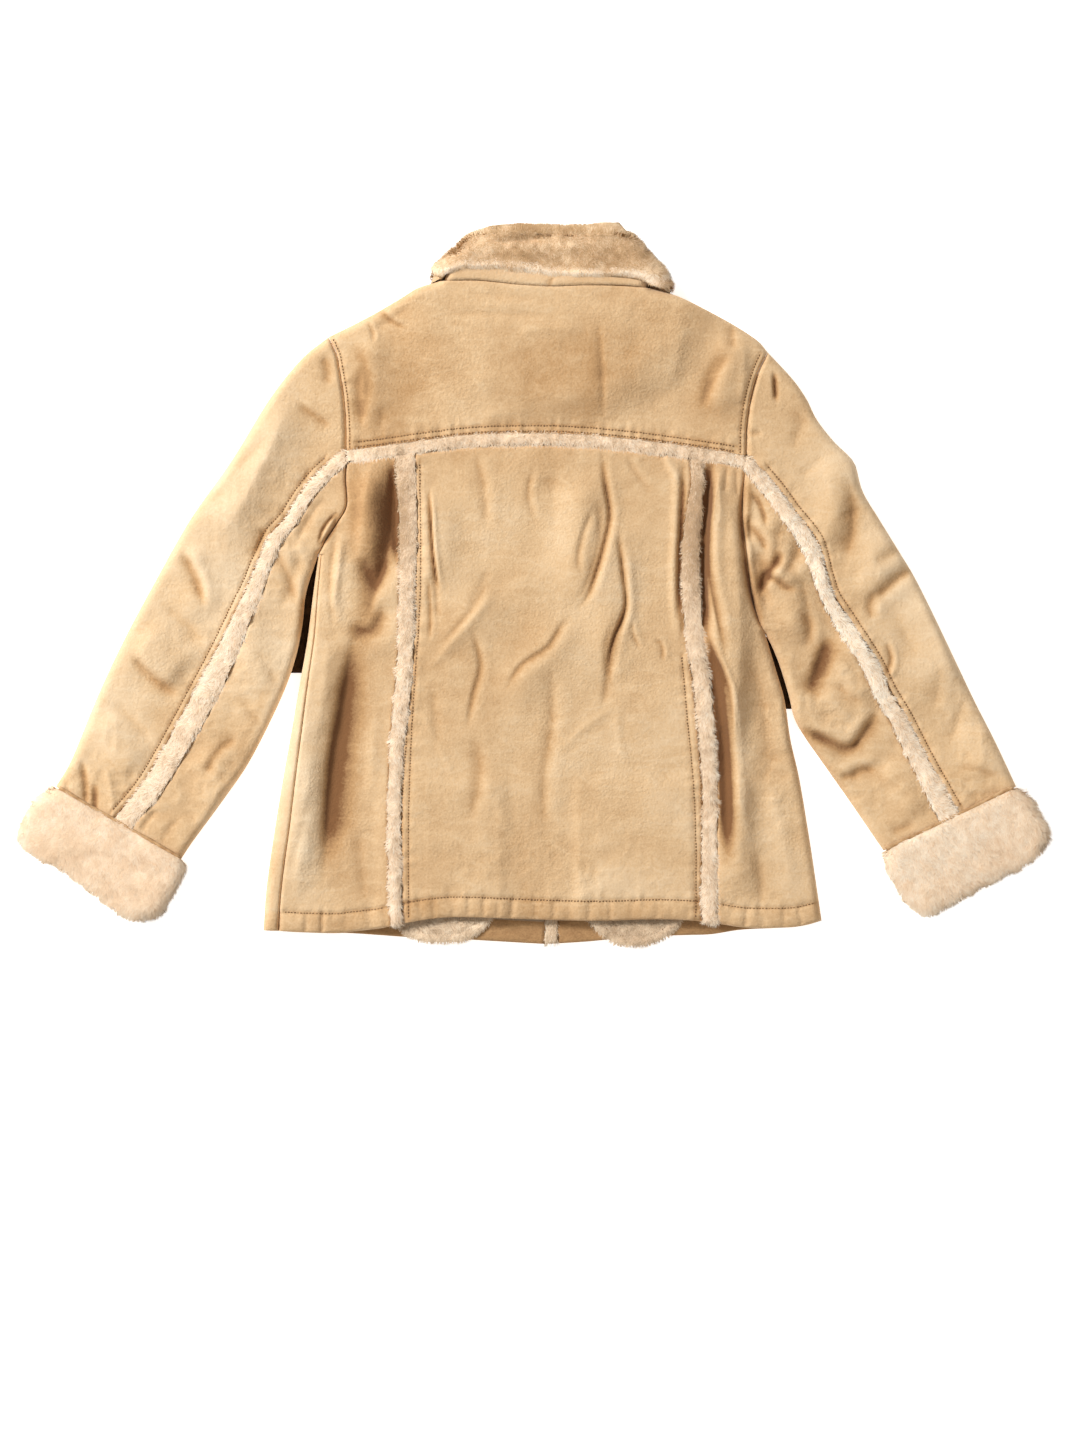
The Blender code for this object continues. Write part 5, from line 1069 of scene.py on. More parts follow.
def back():
    """The centre back, the two side backs and the two pile strips between them."""
    left_edge, right_edge = body_edge("left"), body_edge("right")
    seam_edge = left_edge.copy()
    below = seam_edge[:, 1] <= SIDE_LEFT["y"][0] + 0.01
    seam_edge[below, 0] += SEAM + np.interp(seam_edge[below, 1], SIDE_SEAM["y"], SIDE_SEAM["in_from_edge"])
    back_panel("left", seam_edge, strip_side("left", -1, left_edge, SEAM), (),
               [("right", *STRIP_DIP), ("left", *SIDE_DIP), ("top", *STRIP_DIP),
                (BODY["left"]["armhole"], *ARMHOLE_DIP)], [], (118, 480, 0.83))
    centre_left = strip_side("left", 1, left_edge, SEAM)
    centre_right = at_fraction(strip_side("right", -1, right_edge, SEAM),
                               length_along(centre_left) / length_along(centre_left)[-1])
    rows = [smooth_line(row) for row in (ROW_LEFT_OUTER, ROW_LEFT_INNER, ROW_RIGHT_OUTER, ROW_RIGHT_INNER)]
    back_panel("centre", centre_left, centre_right, (),
               [("right", *STRIP_DIP), ("left", *STRIP_DIP), ("top", *STRIP_DIP)], rows, (304, 480, 0.96))
    back_panel("right", strip_side("right", 1, right_edge, SEAM), right_edge,
               [(BODY["right"]["side"], -1.0)],
               [("left", *STRIP_DIP), ("top", *STRIP_DIP), (BODY["right"]["armhole"], *ARMHOLE_DIP)], [],
               (118, 468, 0.69))
    for name, edge, seed in (("left", left_edge, 100), ("right", right_edge, 120)):
        pile_strip(f"back_strip_{name}", strip_side(name, -1, edge), strip_side(name, 1, edge),
                   lying_top(strip_edges(name, edge)[0]), seed)


def yoke():
    """The yoke, from the shoulders and the neckline down to the pile strip on its seam, and that strip."""
    left, right = BODY["left"], BODY["right"]
    top = np.vstack([left["shoulder"], NECK_LINE[1:-1], right["shoulder"][::-1]])
    up_steps = steps(YOKE_SIDE, round_end=ROUND_STEPS) / YOKE_SIDE
    left_edge, right_edge = (at_fraction(armhole_points(name, "upper_steps", "body")[::-1], up_steps)
                             for name in BODY)
    count = round(length_along(top)[-1] / GRID) + 1
    top = at_fraction(top, np.linspace(0, 1, count))
    top[0], top[-1] = left_edge[-1], right_edge[-1]
    x = np.linspace(left_edge[0, 0], right_edge[0, 0], count)
    bottom = np.column_stack([x, y_on(YOKE_LINE, x) + YOKE_STRIP_HALF])
    bottom[0], bottom[-1] = left_edge[0], right_edge[0]
    plan = coons(bottom, top, left_edge, right_edge)
    edge = YOKE_LINE + (0, YOKE_STRIP_HALF)
    rows = [(edge + (0, up))[6:-6] for up in YOKE_ROWS]
    rows += [beside(at_length(body["armhole"], body["upper_steps"]), away)[first:]
             for body, away, first in zip((left, right), ARMHOLE_ROWS, (3, 4))]
    layers = upper_wall(plan, [(left["shoulder"], -1.0), (right["shoulder"], 1.0)], None, SEAM / 2,
                        [("left", *ARMHOLE_DIP), ("right", *ARMHOLE_DIP), ("bottom", *YOKE_DIP),
                         (NECK_LINE, *NECK_DIP)], rows)
    suede_panel("back_yoke", layers, (440, 176, 0.82), BOTH_FRONTS, keep=kept_of(plan))
    stitching("back_yoke_stitching", layers[0], rows, 40)
    x = np.linspace(left_edge[0, 0] + SEAM, right_edge[0, 0] - SEAM, 161)
    middle = np.column_stack([x, y_on(YOKE_LINE, x)])
    reach = np.array([0, YOKE_STRIP_HALF - SEAM])
    pile_strip("yoke_strip", middle + reach, middle - reach, lying_top(middle) - 0.8, 140, comb=(0.1, -0.7),
               blades="yoke")


# ---- the fronts, underneath

def front_panel(name):
    """One front, flat on the surface, with its inside seen below the back's hem. The left one wraps round its
    side edge to a seam on the upper side."""
    body, sign = BODY[name], SIDES[name]
    lower = body_edge(name)
    edge = np.vstack([lower, armhole_points(name, "upper_steps", "body")[::-1]])
    rows_below = len(body["side_steps"])
    pick = np.unique([*range(FRONT_FINE_ROWS), *range(FRONT_FINE_ROWS, len(edge), FRONT_SKIP), rows_below - 1,
                      len(edge) - 1])
    rows_below = int(np.searchsorted(pick, rows_below - 1)) + 1
    edge = edge[pick]
    neck = FRONT_NECK[name]
    middle_x = CENTRE_FRONT - sign * (CENTRE_STRIP_HALF + SEAM)
    neck_end = np.array([middle_x, np.interp(sign * middle_x, sign * neck[:, 0], neck[:, 1])])
    neck = np.vstack([neck[sign * neck[:, 0] < sign * middle_x], neck_end])
    share = (edge[:, 1] - edge[0, 1]) / (edge[-1, 1] - edge[0, 1])
    low = y_on(FRONT_HEM_LINE, middle_x)
    middle = np.column_stack([np.full(len(edge), middle_x), low + share * (neck_end[1] - low)])
    width = abs(edge[0, 0] - middle_x)
    across = steps(width, round_start=ROUND_STEPS, spacing=FRONT_GRID) / width
    hem = row_across(FRONT_HEM_LINE, edge[0], middle[0], across)
    top = at_fraction(np.vstack([body["shoulder"], neck[1:]]), across)
    top[0], top[-1] = edge[-1], middle[-1]
    plan = coons(hem, top, edge, middle)
    folds_at = [(body["side"], sign), (body["shoulder"], -sign)]
    outer, inner = lower_wall(plan, folds_at, FRONT_HEM_LINE, SEAM / 2)
    inner[..., 2] += front_inside(plan)
    lining = smoothstep((nearest(plan, FRONT_HEM_LINE)[0] - FRONT_HEM_DEPTH) / 1.5)
    tone = nap_and_painted_light(plan, np.zeros(plan.shape[:-1]))
    cells = np.ones((len(edge) - 1, plan.shape[1] - 1), bool)
    if name == "left":
        wide = np.interp(edge[:, 1], SIDE_SEAM["y"], SIDE_SEAM["in_from_edge"])[:, None]
        wrap = edge[:, None] + np.stack([wide * WRAP_SHARES, np.zeros((len(edge), len(WRAP_SHARES)))], axis=-1)
        over, under, nap = upper_wall(wrap, [(body["side"], sign)], HEM_LINE, 0.0, [("left", *SIDE_DIP)])
        more = np.zeros((cells.shape[0], len(WRAP_SHARES)), bool)
        more[:rows_below - 1] = True
        outer, inner = np.concatenate([over, outer], axis=1), np.concatenate([under, inner], axis=1)
        tone, cells = np.concatenate([nap, tone], axis=1), np.concatenate([more, cells], axis=1)
        lining = np.concatenate([np.ones(nap.shape), lining], axis=1)
    size = (272, 662, 0.86) if name == "left" else (258, 655, 0.81)
    suede_panel(f"front_{name}", (outer, inner, tone), size, [], "front", lining, cells=cells)


def front_inside(plan):
    """The inside of a front: the turned-up hem lies on the pile, a step of one S-curve with a ridge along its
    upper edge, and soft folds of two noises run across it."""
    gap, along, _ = nearest(plan, FRONT_HEM_LINE)
    place = np.stack([along, gap * 0.3], axis=-1)
    folds = waves(place, (0.5, 9, 61), (0.4, 4, 62))
    past = gap - FRONT_HEM_DEPTH
    ledge = -smoothstep(past / 3) + 0.5 * bell(past + 2, 2)
    return (folds + ledge) * smoothstep((gap - 1) / 3) * smoothstep((60 - gap) / 20)


def centre_strip():
    """The pile edge down the centre front, between the two fronts."""
    heights = np.linspace(y_on(FRONT_HEM_LINE, CENTRE_FRONT), FRONT_NECK_LEFT["y"][-1] - SEAM, 201)
    middle = np.column_stack([np.full_like(heights, CENTRE_FRONT), heights])
    reach = np.array([CENTRE_STRIP_HALF, 0])
    pile_strip("front_edge_strip", middle - reach, middle + reach, PRESSED_WALL + lift(middle), 160,
               depth=PRESSED_WALL, rise_above=FRONT_STRIP_RISE, blades="front")


def pocket_bags():
    """The two pocket bags inside the fronts: discs of pile, rings of points from the middle out to an outline
    with a round bottom, on top and again below, with a rolled and stitched border."""
    for k, name in enumerate(SIDES):
        bag = {column: values[k] for column, values in POCKET_BAGS.items()}
        half, radius = bag["width"] / 2, bag["round"]
        turn = np.linspace(0, math.pi / 2, 24)
        right_low = np.column_stack([half - radius + radius * np.sin(turn), radius - radius * np.cos(turn)])
        outline = np.vstack([right_low[::-1] * (-1, 1), right_low[1:], [[half, bag["height"]]],
                             [[-half, bag["height"]]]])
        outline = at_fraction(np.vstack([outline, outline[:1]]), np.linspace(0, 1, 221))[:-1]
        outline = outline + (bag["centre_x"], bag["bottom_y"])
        centre = outline.mean(axis=0)
        rings = np.concatenate([np.linspace(0.02, 0.84, 26), np.linspace(0.86, 0.97, 7), (0.985, 0.995, 1.0)])
        plan = centre + (outline - centre)[None] * rings[:, None, None]
        gap = np.linalg.norm(plan - plan[-1:], axis=-1)
        border = 0.9 * bell(gap - 4, 3) - 0.7 * bell(gap - 9.5, 1.3)
        lumps = waves(plan, (0.5, 6, 71 + k), (0.35, 3, 73 + k))
        level = PRESSED_WALL + SEAM + BAG_THICK / 2
        edge = rise(gap, 3.0)
        top = stacked(plan, level + (BAG_THICK / 2 + border + lumps * 0.6 - 0.6) * edge)
        low = stacked(plan, level - BAG_THICK / 2 * edge)
        sections = np.concatenate([top, low[[-2, -3, -6, -10, 12, 0]]])
        body = pile_body(f"pocket_bag_{name}", sections.reshape(-1, 3), tube(sections), "bag_body")
        surface = np.concatenate([top, top[:, :1]], axis=1)
        seen = (surface[:-1, :-1, 1] < bag["bottom_y"] + 48) * (0.4 + edge[:-1])
        fur = pile_blades(f"pocket_bag_{name}_pile", surface, BLADES["bag"], (0.1, -0.8, 0.0), 170 + k,
                          "bag_pile", seen)
        row = smooth_line(path(*(centre + (outline - centre) * 0.9)[0:76:5]))
        stitches = stitching(f"pocket_bag_{name}_stitching", top, [row], 90 + k)
        SHEETS.append((body, (bag["width"], bag["height"], 0.93), [f"front_{name}_cloth"], [fur, stitches]))


# ---- the sleeves

def sleeve_lines(name):
    """The rows of one sleeve: its folded edges, the edges of its pile strip and the seam hidden under that.
    The first rows end on the lower armhole, and the others on the folded edge below the underarm."""
    lines, body = SLEEVE[name], BODY[name]
    outer_edge, inner_edge = smooth_line(lines["outer"]), smooth_line(lines["inner"])
    armhole_top = armhole_points(name, "upper_steps", "sleeve")
    armhole_low = armhole_points(name, "lower_steps", "sleeve")
    spine = smooth_line(lines["strip"])
    opposite = np.linalg.norm(spine - armhole_low[-1], axis=1).argmin() / (LINE_POINTS - 1)
    armhole_share = (body["lower_steps"] - body["lower_steps"][0]) / np.ptp(body["lower_steps"])
    even = np.linspace(0, 1, round(length_along(inner_edge)[-1] / GRID))[1:]
    fractions = np.concatenate([opposite * armhole_share, opposite + (1 - opposite) * even])
    middle = at_fraction(spine, fractions)
    half = np.interp(-middle[:, 1], -lines["strip"]["y"], lines["strip"]["half_width"])[:, None]
    side = normals(spine)[np.round(fractions * (LINE_POINTS - 1)).astype(int)] * SIDES[name]
    cuff = np.vstack([outer_edge[-1], inner_edge[-1]])
    side[-1] = (cuff[1] - cuff[0]) / np.linalg.norm(cuff[1] - cuff[0])
    top_seam, low_seam = middle - side * (half + SEAM), middle + side * (half + SEAM)
    top_seam[0], low_seam[0] = armhole_top[-1], armhole_low[0]
    hidden = (armhole_top[-1] + armhole_low[0]) / 2
    under_upper, under_low = middle - side * SEAM / 2, middle + side * SEAM / 2
    way = (armhole_low[0] - armhole_top[-1]) / np.linalg.norm(armhole_low[0] - armhole_top[-1])
    under_upper[0], under_low[0] = hidden - way * SEAM / 2, hidden + way * SEAM / 2
    outer_fold = at_fraction(outer_edge, fractions)
    outer_fold[0] = armhole_top[0]
    inner_fold = np.vstack([armhole_low, at_fraction(inner_edge, even)])
    return dict(top_seam=top_seam, low_seam=low_seam, under_upper=under_upper, under_low=under_low,
                outer_fold=outer_fold, inner_fold=inner_fold, armhole_top=armhole_top, side=side,
                outer_edge=outer_edge, inner_edge=inner_edge, armhole_rows=len(armhole_low), middle=middle)


def sleeve_plan(first, fold, seam, spacing):
    """The plan of one layer of a sleeve piece, whose columns run from its folded edge to its seam."""
    wide = np.linalg.norm(seam[-1] - fold[-1])
    shares = steps(wide, round_start=ROUND_STEPS, spacing=spacing * wide / length_along(first)[-1]
                   if length_along(first)[-1] > wide else spacing) / wide
    last = fold[-1] + (seam[-1] - fold[-1]) * shares[:, None]
    start = at_length(first, shares_on(first, shares, wide))
    start[0], start[-1] = fold[0], seam[0]
    return coons(start, last, fold, seam)


def shares_on(line, shares, wide):
    """Distances along a line that keep the rounded edge's own steps at its start and spread out the rest."""
    whole = length_along(line)[-1]
    near = min(EDGE, 0.4 * whole)
    return np.interp(shares * wide, (0, EDGE, wide), (0, near, whole))


def sleeve(name):
    """One sleeve: an upper and an under sleeve, each wrapped round its folded edge, and the pile strip on
    the seam between them."""
    rows, sign = sleeve_lines(name), SIDES[name]
    first = rows["armhole_top"]
    seam_rows = [(rows["top_seam"] - rows["side"] * away)[8:-1] for away in SLEEVE_ROWS]
    on_top = sleeve_plan(first, rows["outer_fold"], rows["top_seam"], GRID)
    below = sleeve_plan(np.vstack([first, rows["under_upper"][:1]]), rows["outer_fold"], rows["under_upper"],
                        HIDDEN_GRID)
    top = upper_wall(on_top, [(rows["outer_edge"], sign)], None, 0.0,
                     [("right", *STRIP_DIP), ("bottom", *ARMHOLE_DIP)], seam_rows)
    sleeve_piece(f"sleeve_upper_{name}", top, lower_wall(below, [(rows["outer_edge"], sign)]), 0,
                 (200, 520, 0.81))
    stitching(f"sleeve_upper_{name}_stitching", top[0], seam_rows, 44)

    on_top = fan_plan(rows["inner_fold"], rows["low_seam"], GRID)
    below = fan_plan(rows["inner_fold"], rows["under_low"], HIDDEN_GRID)
    top = upper_wall(on_top, [(rows["inner_edge"], -sign)], None, 0.0,
                     [("right", *STRIP_DIP), (BODY[name]["armhole"], *ARMHOLE_DIP)])
    sleeve_piece(f"sleeve_under_{name}", top, lower_wall(below, [(rows["inner_edge"], -sign)]),
                 rows["armhole_rows"] - 1, (165, 410, 0.8))
    SHEETS[-1][3].append(underarm(name, -88 if name == "left" else -124))

    edge_a, edge_b = rows["top_seam"] + rows["side"] * SEAM, rows["low_seam"] - rows["side"] * SEAM
    edge_a[0], edge_b[0] = rows["top_seam"][0] - (0, SEAM), rows["low_seam"][0] + (0, SEAM)
    pile_strip(f"sleeve_strip_{name}", edge_a, edge_b, lying_top(rows["middle"]),
               180 if name == "left" else 200)


def fan_plan(fold, seam, spacing):
    """A plan whose rows run straight from its folded edge to its seam, and may start at one point."""
    wide = np.linalg.norm(seam - fold, axis=1).max()
    shares = steps(wide, round_start=ROUND_STEPS, spacing=spacing) / wide
    return fold[:, None] + (seam - fold)[:, None] * shares[None, :, None]


def sleeve_piece(node, top, low, rows_on_armhole, size):
    """Joins the two layers of a sleeve piece at its folded edge. Rows that end on the armhole stay apart."""
    (outer_top, inner_top, tone), (outer_low, inner_low) = top, low
    outer_low[rows_on_armhole:, 0] = outer_top[rows_on_armhole:, 0]
    inner_low[rows_on_armhole:, 0] = inner_top[rows_on_armhole:, 0]
    outer = np.concatenate([outer_low[:, ::-1], outer_top], axis=1)
    inner = np.concatenate([inner_low[:, ::-1], inner_top], axis=1)
    joint = outer_low.shape[1]
    cells = np.ones((outer.shape[0] - 1, outer.shape[1] - 1), bool)
    cells[:, joint - 1] = False
    tone = np.concatenate([np.full(outer_low.shape[:2], 0.5), tone], axis=1)
    columns = np.unique(np.concatenate([np.arange(joint), joint + kept(outer_top.shape[1])]))
    suede_panel(node, (outer, inner, tone), size, [], cells=cells,
                keep=(kept(outer.shape[0], rows_on_armhole), columns))


def underarm(name, low):
    """A dark sheet that paints the shadow under the arm, down to the y given: a flat band between the side of
    the body and the sleeve's inner edge, deep in the gap."""
    side, inner, over = BODY[name]["side"], smooth_line(SLEEVE[name]["inner"]), (2 * SIDES[name], 0)
    heights = np.linspace(side[0, 1] - 2, low, 40)
    plan = np.stack([at_height(side, heights) + over, at_height(inner, heights) - over], axis=1)
    sections = np.concatenate([stacked(plan, UNDERARM_TOP), stacked(plan[:, ::-1], UNDERARM_LOW)], axis=1)
    return bar(f"underarm_{name}_cloth", sections, "underarm")


def bar(name, sections, finish):
    """A piece of cloth that is a tube between sections and stands for no solid of its own."""
    return make_piece(name, sections.reshape(-1, 3), tube(sections), MATERIALS[finish])


# ---- the cuffs

def cuff(name):
    """One turned-back pile cuff: a flattened ring round the sleeve's end, rounded at its sides and its end,
    with lumps of soft noise, blades all over it and the thin edge of its suede along the mouth."""
    lines, sign = SLEEVE[name]["cuff"], SIDES[name]
    outer_side, inner_side = smooth_line(lines["outer"]), smooth_line(lines["inner"])
    mouth, end = smooth_line(lines["mouth"]), smooth_line(lines["end"])
    away = -SEAM * np.array([sign * 0.5, 0.85])
    along = steps(1.0, *CUFF_SHARES)
    rounded = rounded_steps(CUFF_EDGE)
    shares = steps(length_along(end)[-1], rounded, rounded, CUFF_GRID) / length_along(end)[-1]
    first, last = (at_fraction(line, shares) + away for line in (mouth, end))
    plan = coons(first, last, at_fraction(outer_side, along) + away, at_fraction(inner_side, along) + away)
    centre = plan.mean(axis=(0, 1))
    distance, inward = edge_distance(plan, [(outer_side + away, sign), (inner_side + away, -sign)])
    up = rise(distance, CUFF_EDGE)
    ends = rise(nearest(plan, end + away)[0], CUFF_END)
    ends *= rise(nearest(plan, mouth + away)[0] + CUFF_MOUTH / 3, CUFF_MOUTH)
    half = CUFF_HEIGHT / 2
    hollow = drawn_in(plan, inward, distance, CUFF_WALL, CUFF_EDGE)
    spread = np.linalg.norm(plan - centre, axis=-1, keepdims=True)
    skin = plan - (plan - centre) / spread * PILE_INSET * np.clip(1.2 - distance / 9, 0, 1)[..., None]
    lumps = waves(plan, (0.7, 15, 300), (0.3, 6, 301))
    layers = []
    for way in (1, -1):
        level = half + way * ((half - PILE_INSET * (way > 0)) * (0.5 + 0.5 * ends) + lumps * (way > 0)) * up
        layers.append((stacked(skin, level), stacked(hollow, half + way * FLAT_GAP * up)))
    outer, inner = (np.concatenate([top, low[:, ::-1]], axis=1) for top, low in zip(*layers))
    columns = plan.shape[1]
    points, faces, _ = closed_wall(outer, inner, kept(outer.shape[0]),
                                   np.unique(np.concatenate([kept(columns), columns + kept(columns)])))
    body = pile_body(f"cuff_{name}", points, faces, "cuff_body")
    around = np.concatenate([outer, outer[:, :1]], axis=1)
    height = cell_heights(around)
    density = smoothstep((height - 3.5) / 6) * (0.45 + 0.55 * smoothstep((height - 14) / 6))
    down = np.array([-sign * 0.32, -0.85, 0.0])
    fur = pile_blades(f"cuff_{name}_pile", around, BLADES["cuff"], down * 0.8, 310, "cuff_pile", density)
    lip = cuff_lip(name, mouth + away, sign)
    SHEETS.append((body, (292, 88, 0.96), [f"sleeve_upper_{name}_cloth"], [fur, lip]))


def cuff_lip(name, mouth, sign):
    """The thin suede edge of a turned-back cuff: a flat bead that follows the mouth a little above the sleeve,
    its width and height wandering along it."""
    stations = np.linspace(0.04, 0.97, 70)
    line = at_fraction(mouth, stations)
    out = np.array([sign * 0.5, 0.85])
    wander = soft_noise(line, 16, 321)[:, None]
    turn = np.linspace(0, 2 * math.pi, 9)[:-1]
    side = np.minimum(stations, 1 - stations) * length_along(mouth)[-1]
    height = 14 + (CUFF_LIFT + LAID_HEIGHT - 11.4) * rise(side, 12)
    across, up = LIP_HALF * np.cos(turn)[None, :], LIP_THICK * np.sin(turn)[None, :]
    plan = line[:, None] + out * (across + 1.2 + 0.8 * wander)[..., None]
    sections = stacked(plan, height[:, None] + up + 0.5 * wander)
    return bar(f"cuff_{name}_edge", sections, "edge")


# ---- the collar

def collar_band(sides, back_low, fronts_low, high, rows, sizes):
    """A band that runs from the centre front round the neck and back to it, folded flat: an upper layer at
    the back of the neck, and a lower one in two halves at the front. Gives its outer and inner points."""
    middle, half, upper_thick, lower_thick, radius = sizes
    folds_at = [(sides[0], -1.0), (sides[1], 1.0)]
    side_rows = [at_fraction(side, rows["share"]) for side in sides]
    top_plan = coons(*level_columns(back_low, high, radius, True), *side_rows)
    back_layer = collar_layer(top_plan, folds_at, middle, rows["upper"] * half,
                              rows["inner"] * (half - upper_thick), upper_thick, radius)
    split = np.interp(CENTRE_FRONT, high[:, 0], np.linspace(0, 1, len(high)))
    fronts = []
    for k, way in ((0, 1), (1, -1)):
        high_half = at_fraction(high, np.linspace(k, split, 101))
        low, top = level_columns(fronts_low[k], high_half, radius, False)
        low[0], top[0] = side_rows[k][0], side_rows[k][-1]
        low[-1, 0] = top[-1, 0] = CENTRE_FRONT - way * SEAM
        share = np.interp(rows["share"], (0, 0.55, 1), (0, 0.82, 1))[:, None]
        plan = coons(low, top, side_rows[k], low[-1] + (top[-1] - low[-1]) * share)
        front = collar_layer(plan, folds_at, middle, -half * rows["lower"],
                             rows["inner"] * (lower_thick - half), upper_thick, radius)
        for grid, upper_grid in zip(front, back_layer):
            grid[:, 0] = upper_grid[:, -k]
        fronts.append(front)
    outer, inner = (np.concatenate([left[:, :0:-1], upper, right[:, 1:]], axis=1)
                    for left, upper, right in zip(fronts[0], back_layer, fronts[1]))
    return outer, inner, back_layer[0].shape[1], fronts[0][0].shape[1] - 1


def level_columns(low, high, radius, both_ends):
    """The columns of a collar layer: those of its low edge, and as many on its high edge."""
    lengths, whole = length_along(low), length_along(high)[-1]
    far = lengths[-1] - (radius if both_ends else 0)
    shares = np.interp(lengths, (0, radius, far, lengths[-1]), (0, radius, whole - lengths[-1] + far, whole))
    return low.copy(), at_length(high, shares)


def rounded_columns(line, radius, both_ends, spacing, start=0.0):
    """Points along a line, with the steps of a folded edge at its first end or at both."""
    rounded = rounded_steps(radius, start)
    return at_length(line, steps(length_along(line)[-1], rounded, rounded if both_ends else (), spacing))


def collar_layer(plan, folds_at, middle, outer_level, inner_level, side_thick, radius):
    """Outer and inner points of one layer of a collar band, at these levels above its middle on each row."""
    distance, inward = edge_distance(plan, folds_at)
    up = rise(distance, radius)
    outer = stacked(plan, middle + outer_level[:, None] * up)
    return outer, stacked(drawn_in(plan, inward, distance, side_thick, radius),
                          middle + inner_level[:, None] * up)


def finer_rows(rows, shares):
    """A table of profile rows read off at more shares of the way."""
    return {name: np.interp(shares, rows["share"], column) for name, column in rows.items()}


def collar():
    """The pile collar folded over its suede stand, round the neck."""
    sides = [smooth_line(COLLAR_SIDE_LEFT), smooth_line(COLLAR_SIDE_RIGHT)]
    fronts = [smooth_line(edge) for edge in (COLLAR_FRONT_LEFT, COLLAR_FRONT_RIGHT)]
    shares = np.unique(np.concatenate([np.linspace(0, 1, 25), (0.01, 0.025, 0.06, 0.745, 0.755, 0.98, 0.99)]))
    outer, inner, back_columns, front_columns = collar_band(
        sides, rounded_columns(smooth_line(COLLAR_FALL_EDGE), FALL_EDGE, True, 2.8),
        [rounded_columns(front, FALL_EDGE, False, 5.0) for front in fronts], smooth_line(COLLAR_FOLD),
        finer_rows(COLLAR_ROWS, shares), (FALL_MIDDLE, FALL_HALF, FALL_WALL, FALL_PRESSED, FALL_EDGE))
    plan = outer[..., :2]
    above = smoothstep((outer[..., 2] - 14) / 8)
    parting = collar_relief(plan)
    lumps = waves(plan, (0.6, 14, 400), (0.4, 6, 401))
    skin = outer.copy()
    skin[..., 2] += above * (parting + lumps - PILE_INSET * 0.8)
    out, far = from_collar_centre(plan)
    pull = np.clip((far - 0.7) / 0.3, 0, 1) * PILE_INSET * 1.7 * (plan[..., 1:] > 300)
    skin[..., :2] -= out / np.maximum(far, 1e-6) * pull
    points, faces, _ = closed_wall(skin, inner, *(np.arange(count) for count in skin.shape[:2]))
    body = pile_body("collar_fall", points, faces, "collar_body")
    upper = skin[:, front_columns - 8:front_columns + back_columns + 8]
    height = cell_heights(upper)
    density = smoothstep((height - 3) / 6)
    y = upper[:-1, :-1, 1]
    comb = np.stack([np.full(y.shape, 0.1), 1.3 * smoothstep((y - 341) / 8) - 0.75], axis=-1)
    away, far = from_collar_centre(upper[:-1, :-1, :2])
    comb = comb + (0.9 * away / np.maximum(far, 1e-6) - comb) * smoothstep((far - 0.72) / 0.25)
    fur = pile_blades("collar_fall_pile", upper, BLADES["collar"], stacked(comb, 0.0), 410, "collar_pile",
                      density, wild=1.3)
    fringe = pile_blades("collar_fall_fringe", upper[2:7], BLADES["fringe"], (0.0, -1.0, 0.1), 430,
                         "collar_pile", smoothstep((height[2:6] - 10) / 6), "cuff_pile", wild=1.6)
    SHEETS.append((body, (440, 120, 0.84), ["collar_stand_cloth"], [fur, fringe]))

    neck = rounded_columns(NECK_LINE, EDGE, True, 4.0, STAND_INSET) + (0, SEAM)
    necks = [rounded_columns(FRONT_NECK[name], EDGE, False, 8.0, STAND_INSET) for name in BODY]
    necks = [beside(line, way * SEAM) for line, way in zip(necks, (1, -1))]
    stand_sides = [beside(side, way * (FALL_WALL + COLLAR_SPREAD))[:STAND_REACH]
                   for side, way in zip(sides, (-1, 1))]
    for side, start, front in zip(stand_sides, (neck[0], neck[-1]), necks):
        front[0] = start
        side += (start - side[0]) * np.clip(1 - np.linspace(0, 1.6, len(side)), 0, 1)[:, None]
    top = stand_sides[0][-1] + (stand_sides[1][-1] - stand_sides[0][-1]) * np.linspace(0, 1, 101)[:, None]
    rows = table("share upper lower inner", *((share, 1, 1, 1) for share in np.linspace(0, 1, 14)))
    thick = STAND_HALF - FLAT_GAP
    outer, inner, _, _ = collar_band(stand_sides, neck, necks, top, rows,
                                     (STAND_MIDDLE, STAND_HALF, thick, thick, EDGE))
    gap = nearest(outer[..., :2], NECK_LINE)[0]
    seam = bell(outer[..., 0] - 16 - 0.2 * (outer[..., 1] - 300), 0.9)
    outer[..., 2] -= np.where(outer[..., 2] > STAND_MIDDLE, 1.4 * (1 - rise(gap, 2.2)) + 1.3 * seam, 0)
    tone = nap_and_painted_light(outer[..., :2], np.zeros(outer.shape[:2])) + 0.03 - 0.2 * seam
    suede_panel("collar_stand", (outer, inner, tone), (360, 88, 0.79), BOTH_FRONTS)


def from_collar_centre(plan):
    """The way from the collar's centre to each point, as shares of its oval's half widths, and its length."""
    out = (plan - COLLAR_CENTRE) / COLLAR_OVAL
    return out, np.linalg.norm(out, axis=-1, keepdims=True)


def collar_relief(plan):
    """The collar's own form: the parting across its middle, two hollows below it and a roll at its top."""
    rows = table(
        RIDGE, (-66, 335, -38, 347, 1, 4, 4, -2.6), (-50, 341, 32, 347, -2, 2.4, 2.6, -4.2),
        (24, 346, 62, 341, 2, 2.6, 2.6, -2.6), (-70, 322, -20, 330, 3, 8, 8, -1.6),
        (-20, 327, 60, 322, -3, 8, 9, -2.6), (60, 330, 104, 320, 2, 9, 10, -2.2),
        (-40, 352, 20, 351, 0, 4, 5, 1.6), (50, 346, 84, 350, 0, 6, 6, 1.4),
        (-90, 318, -40, 320, 1, 6, 6, 1.2), (20, 336, 44, 330, 2, 6, 6, 1.6))
    return ridges(plan, rows, CREASE_POWER)


# ---- finishes

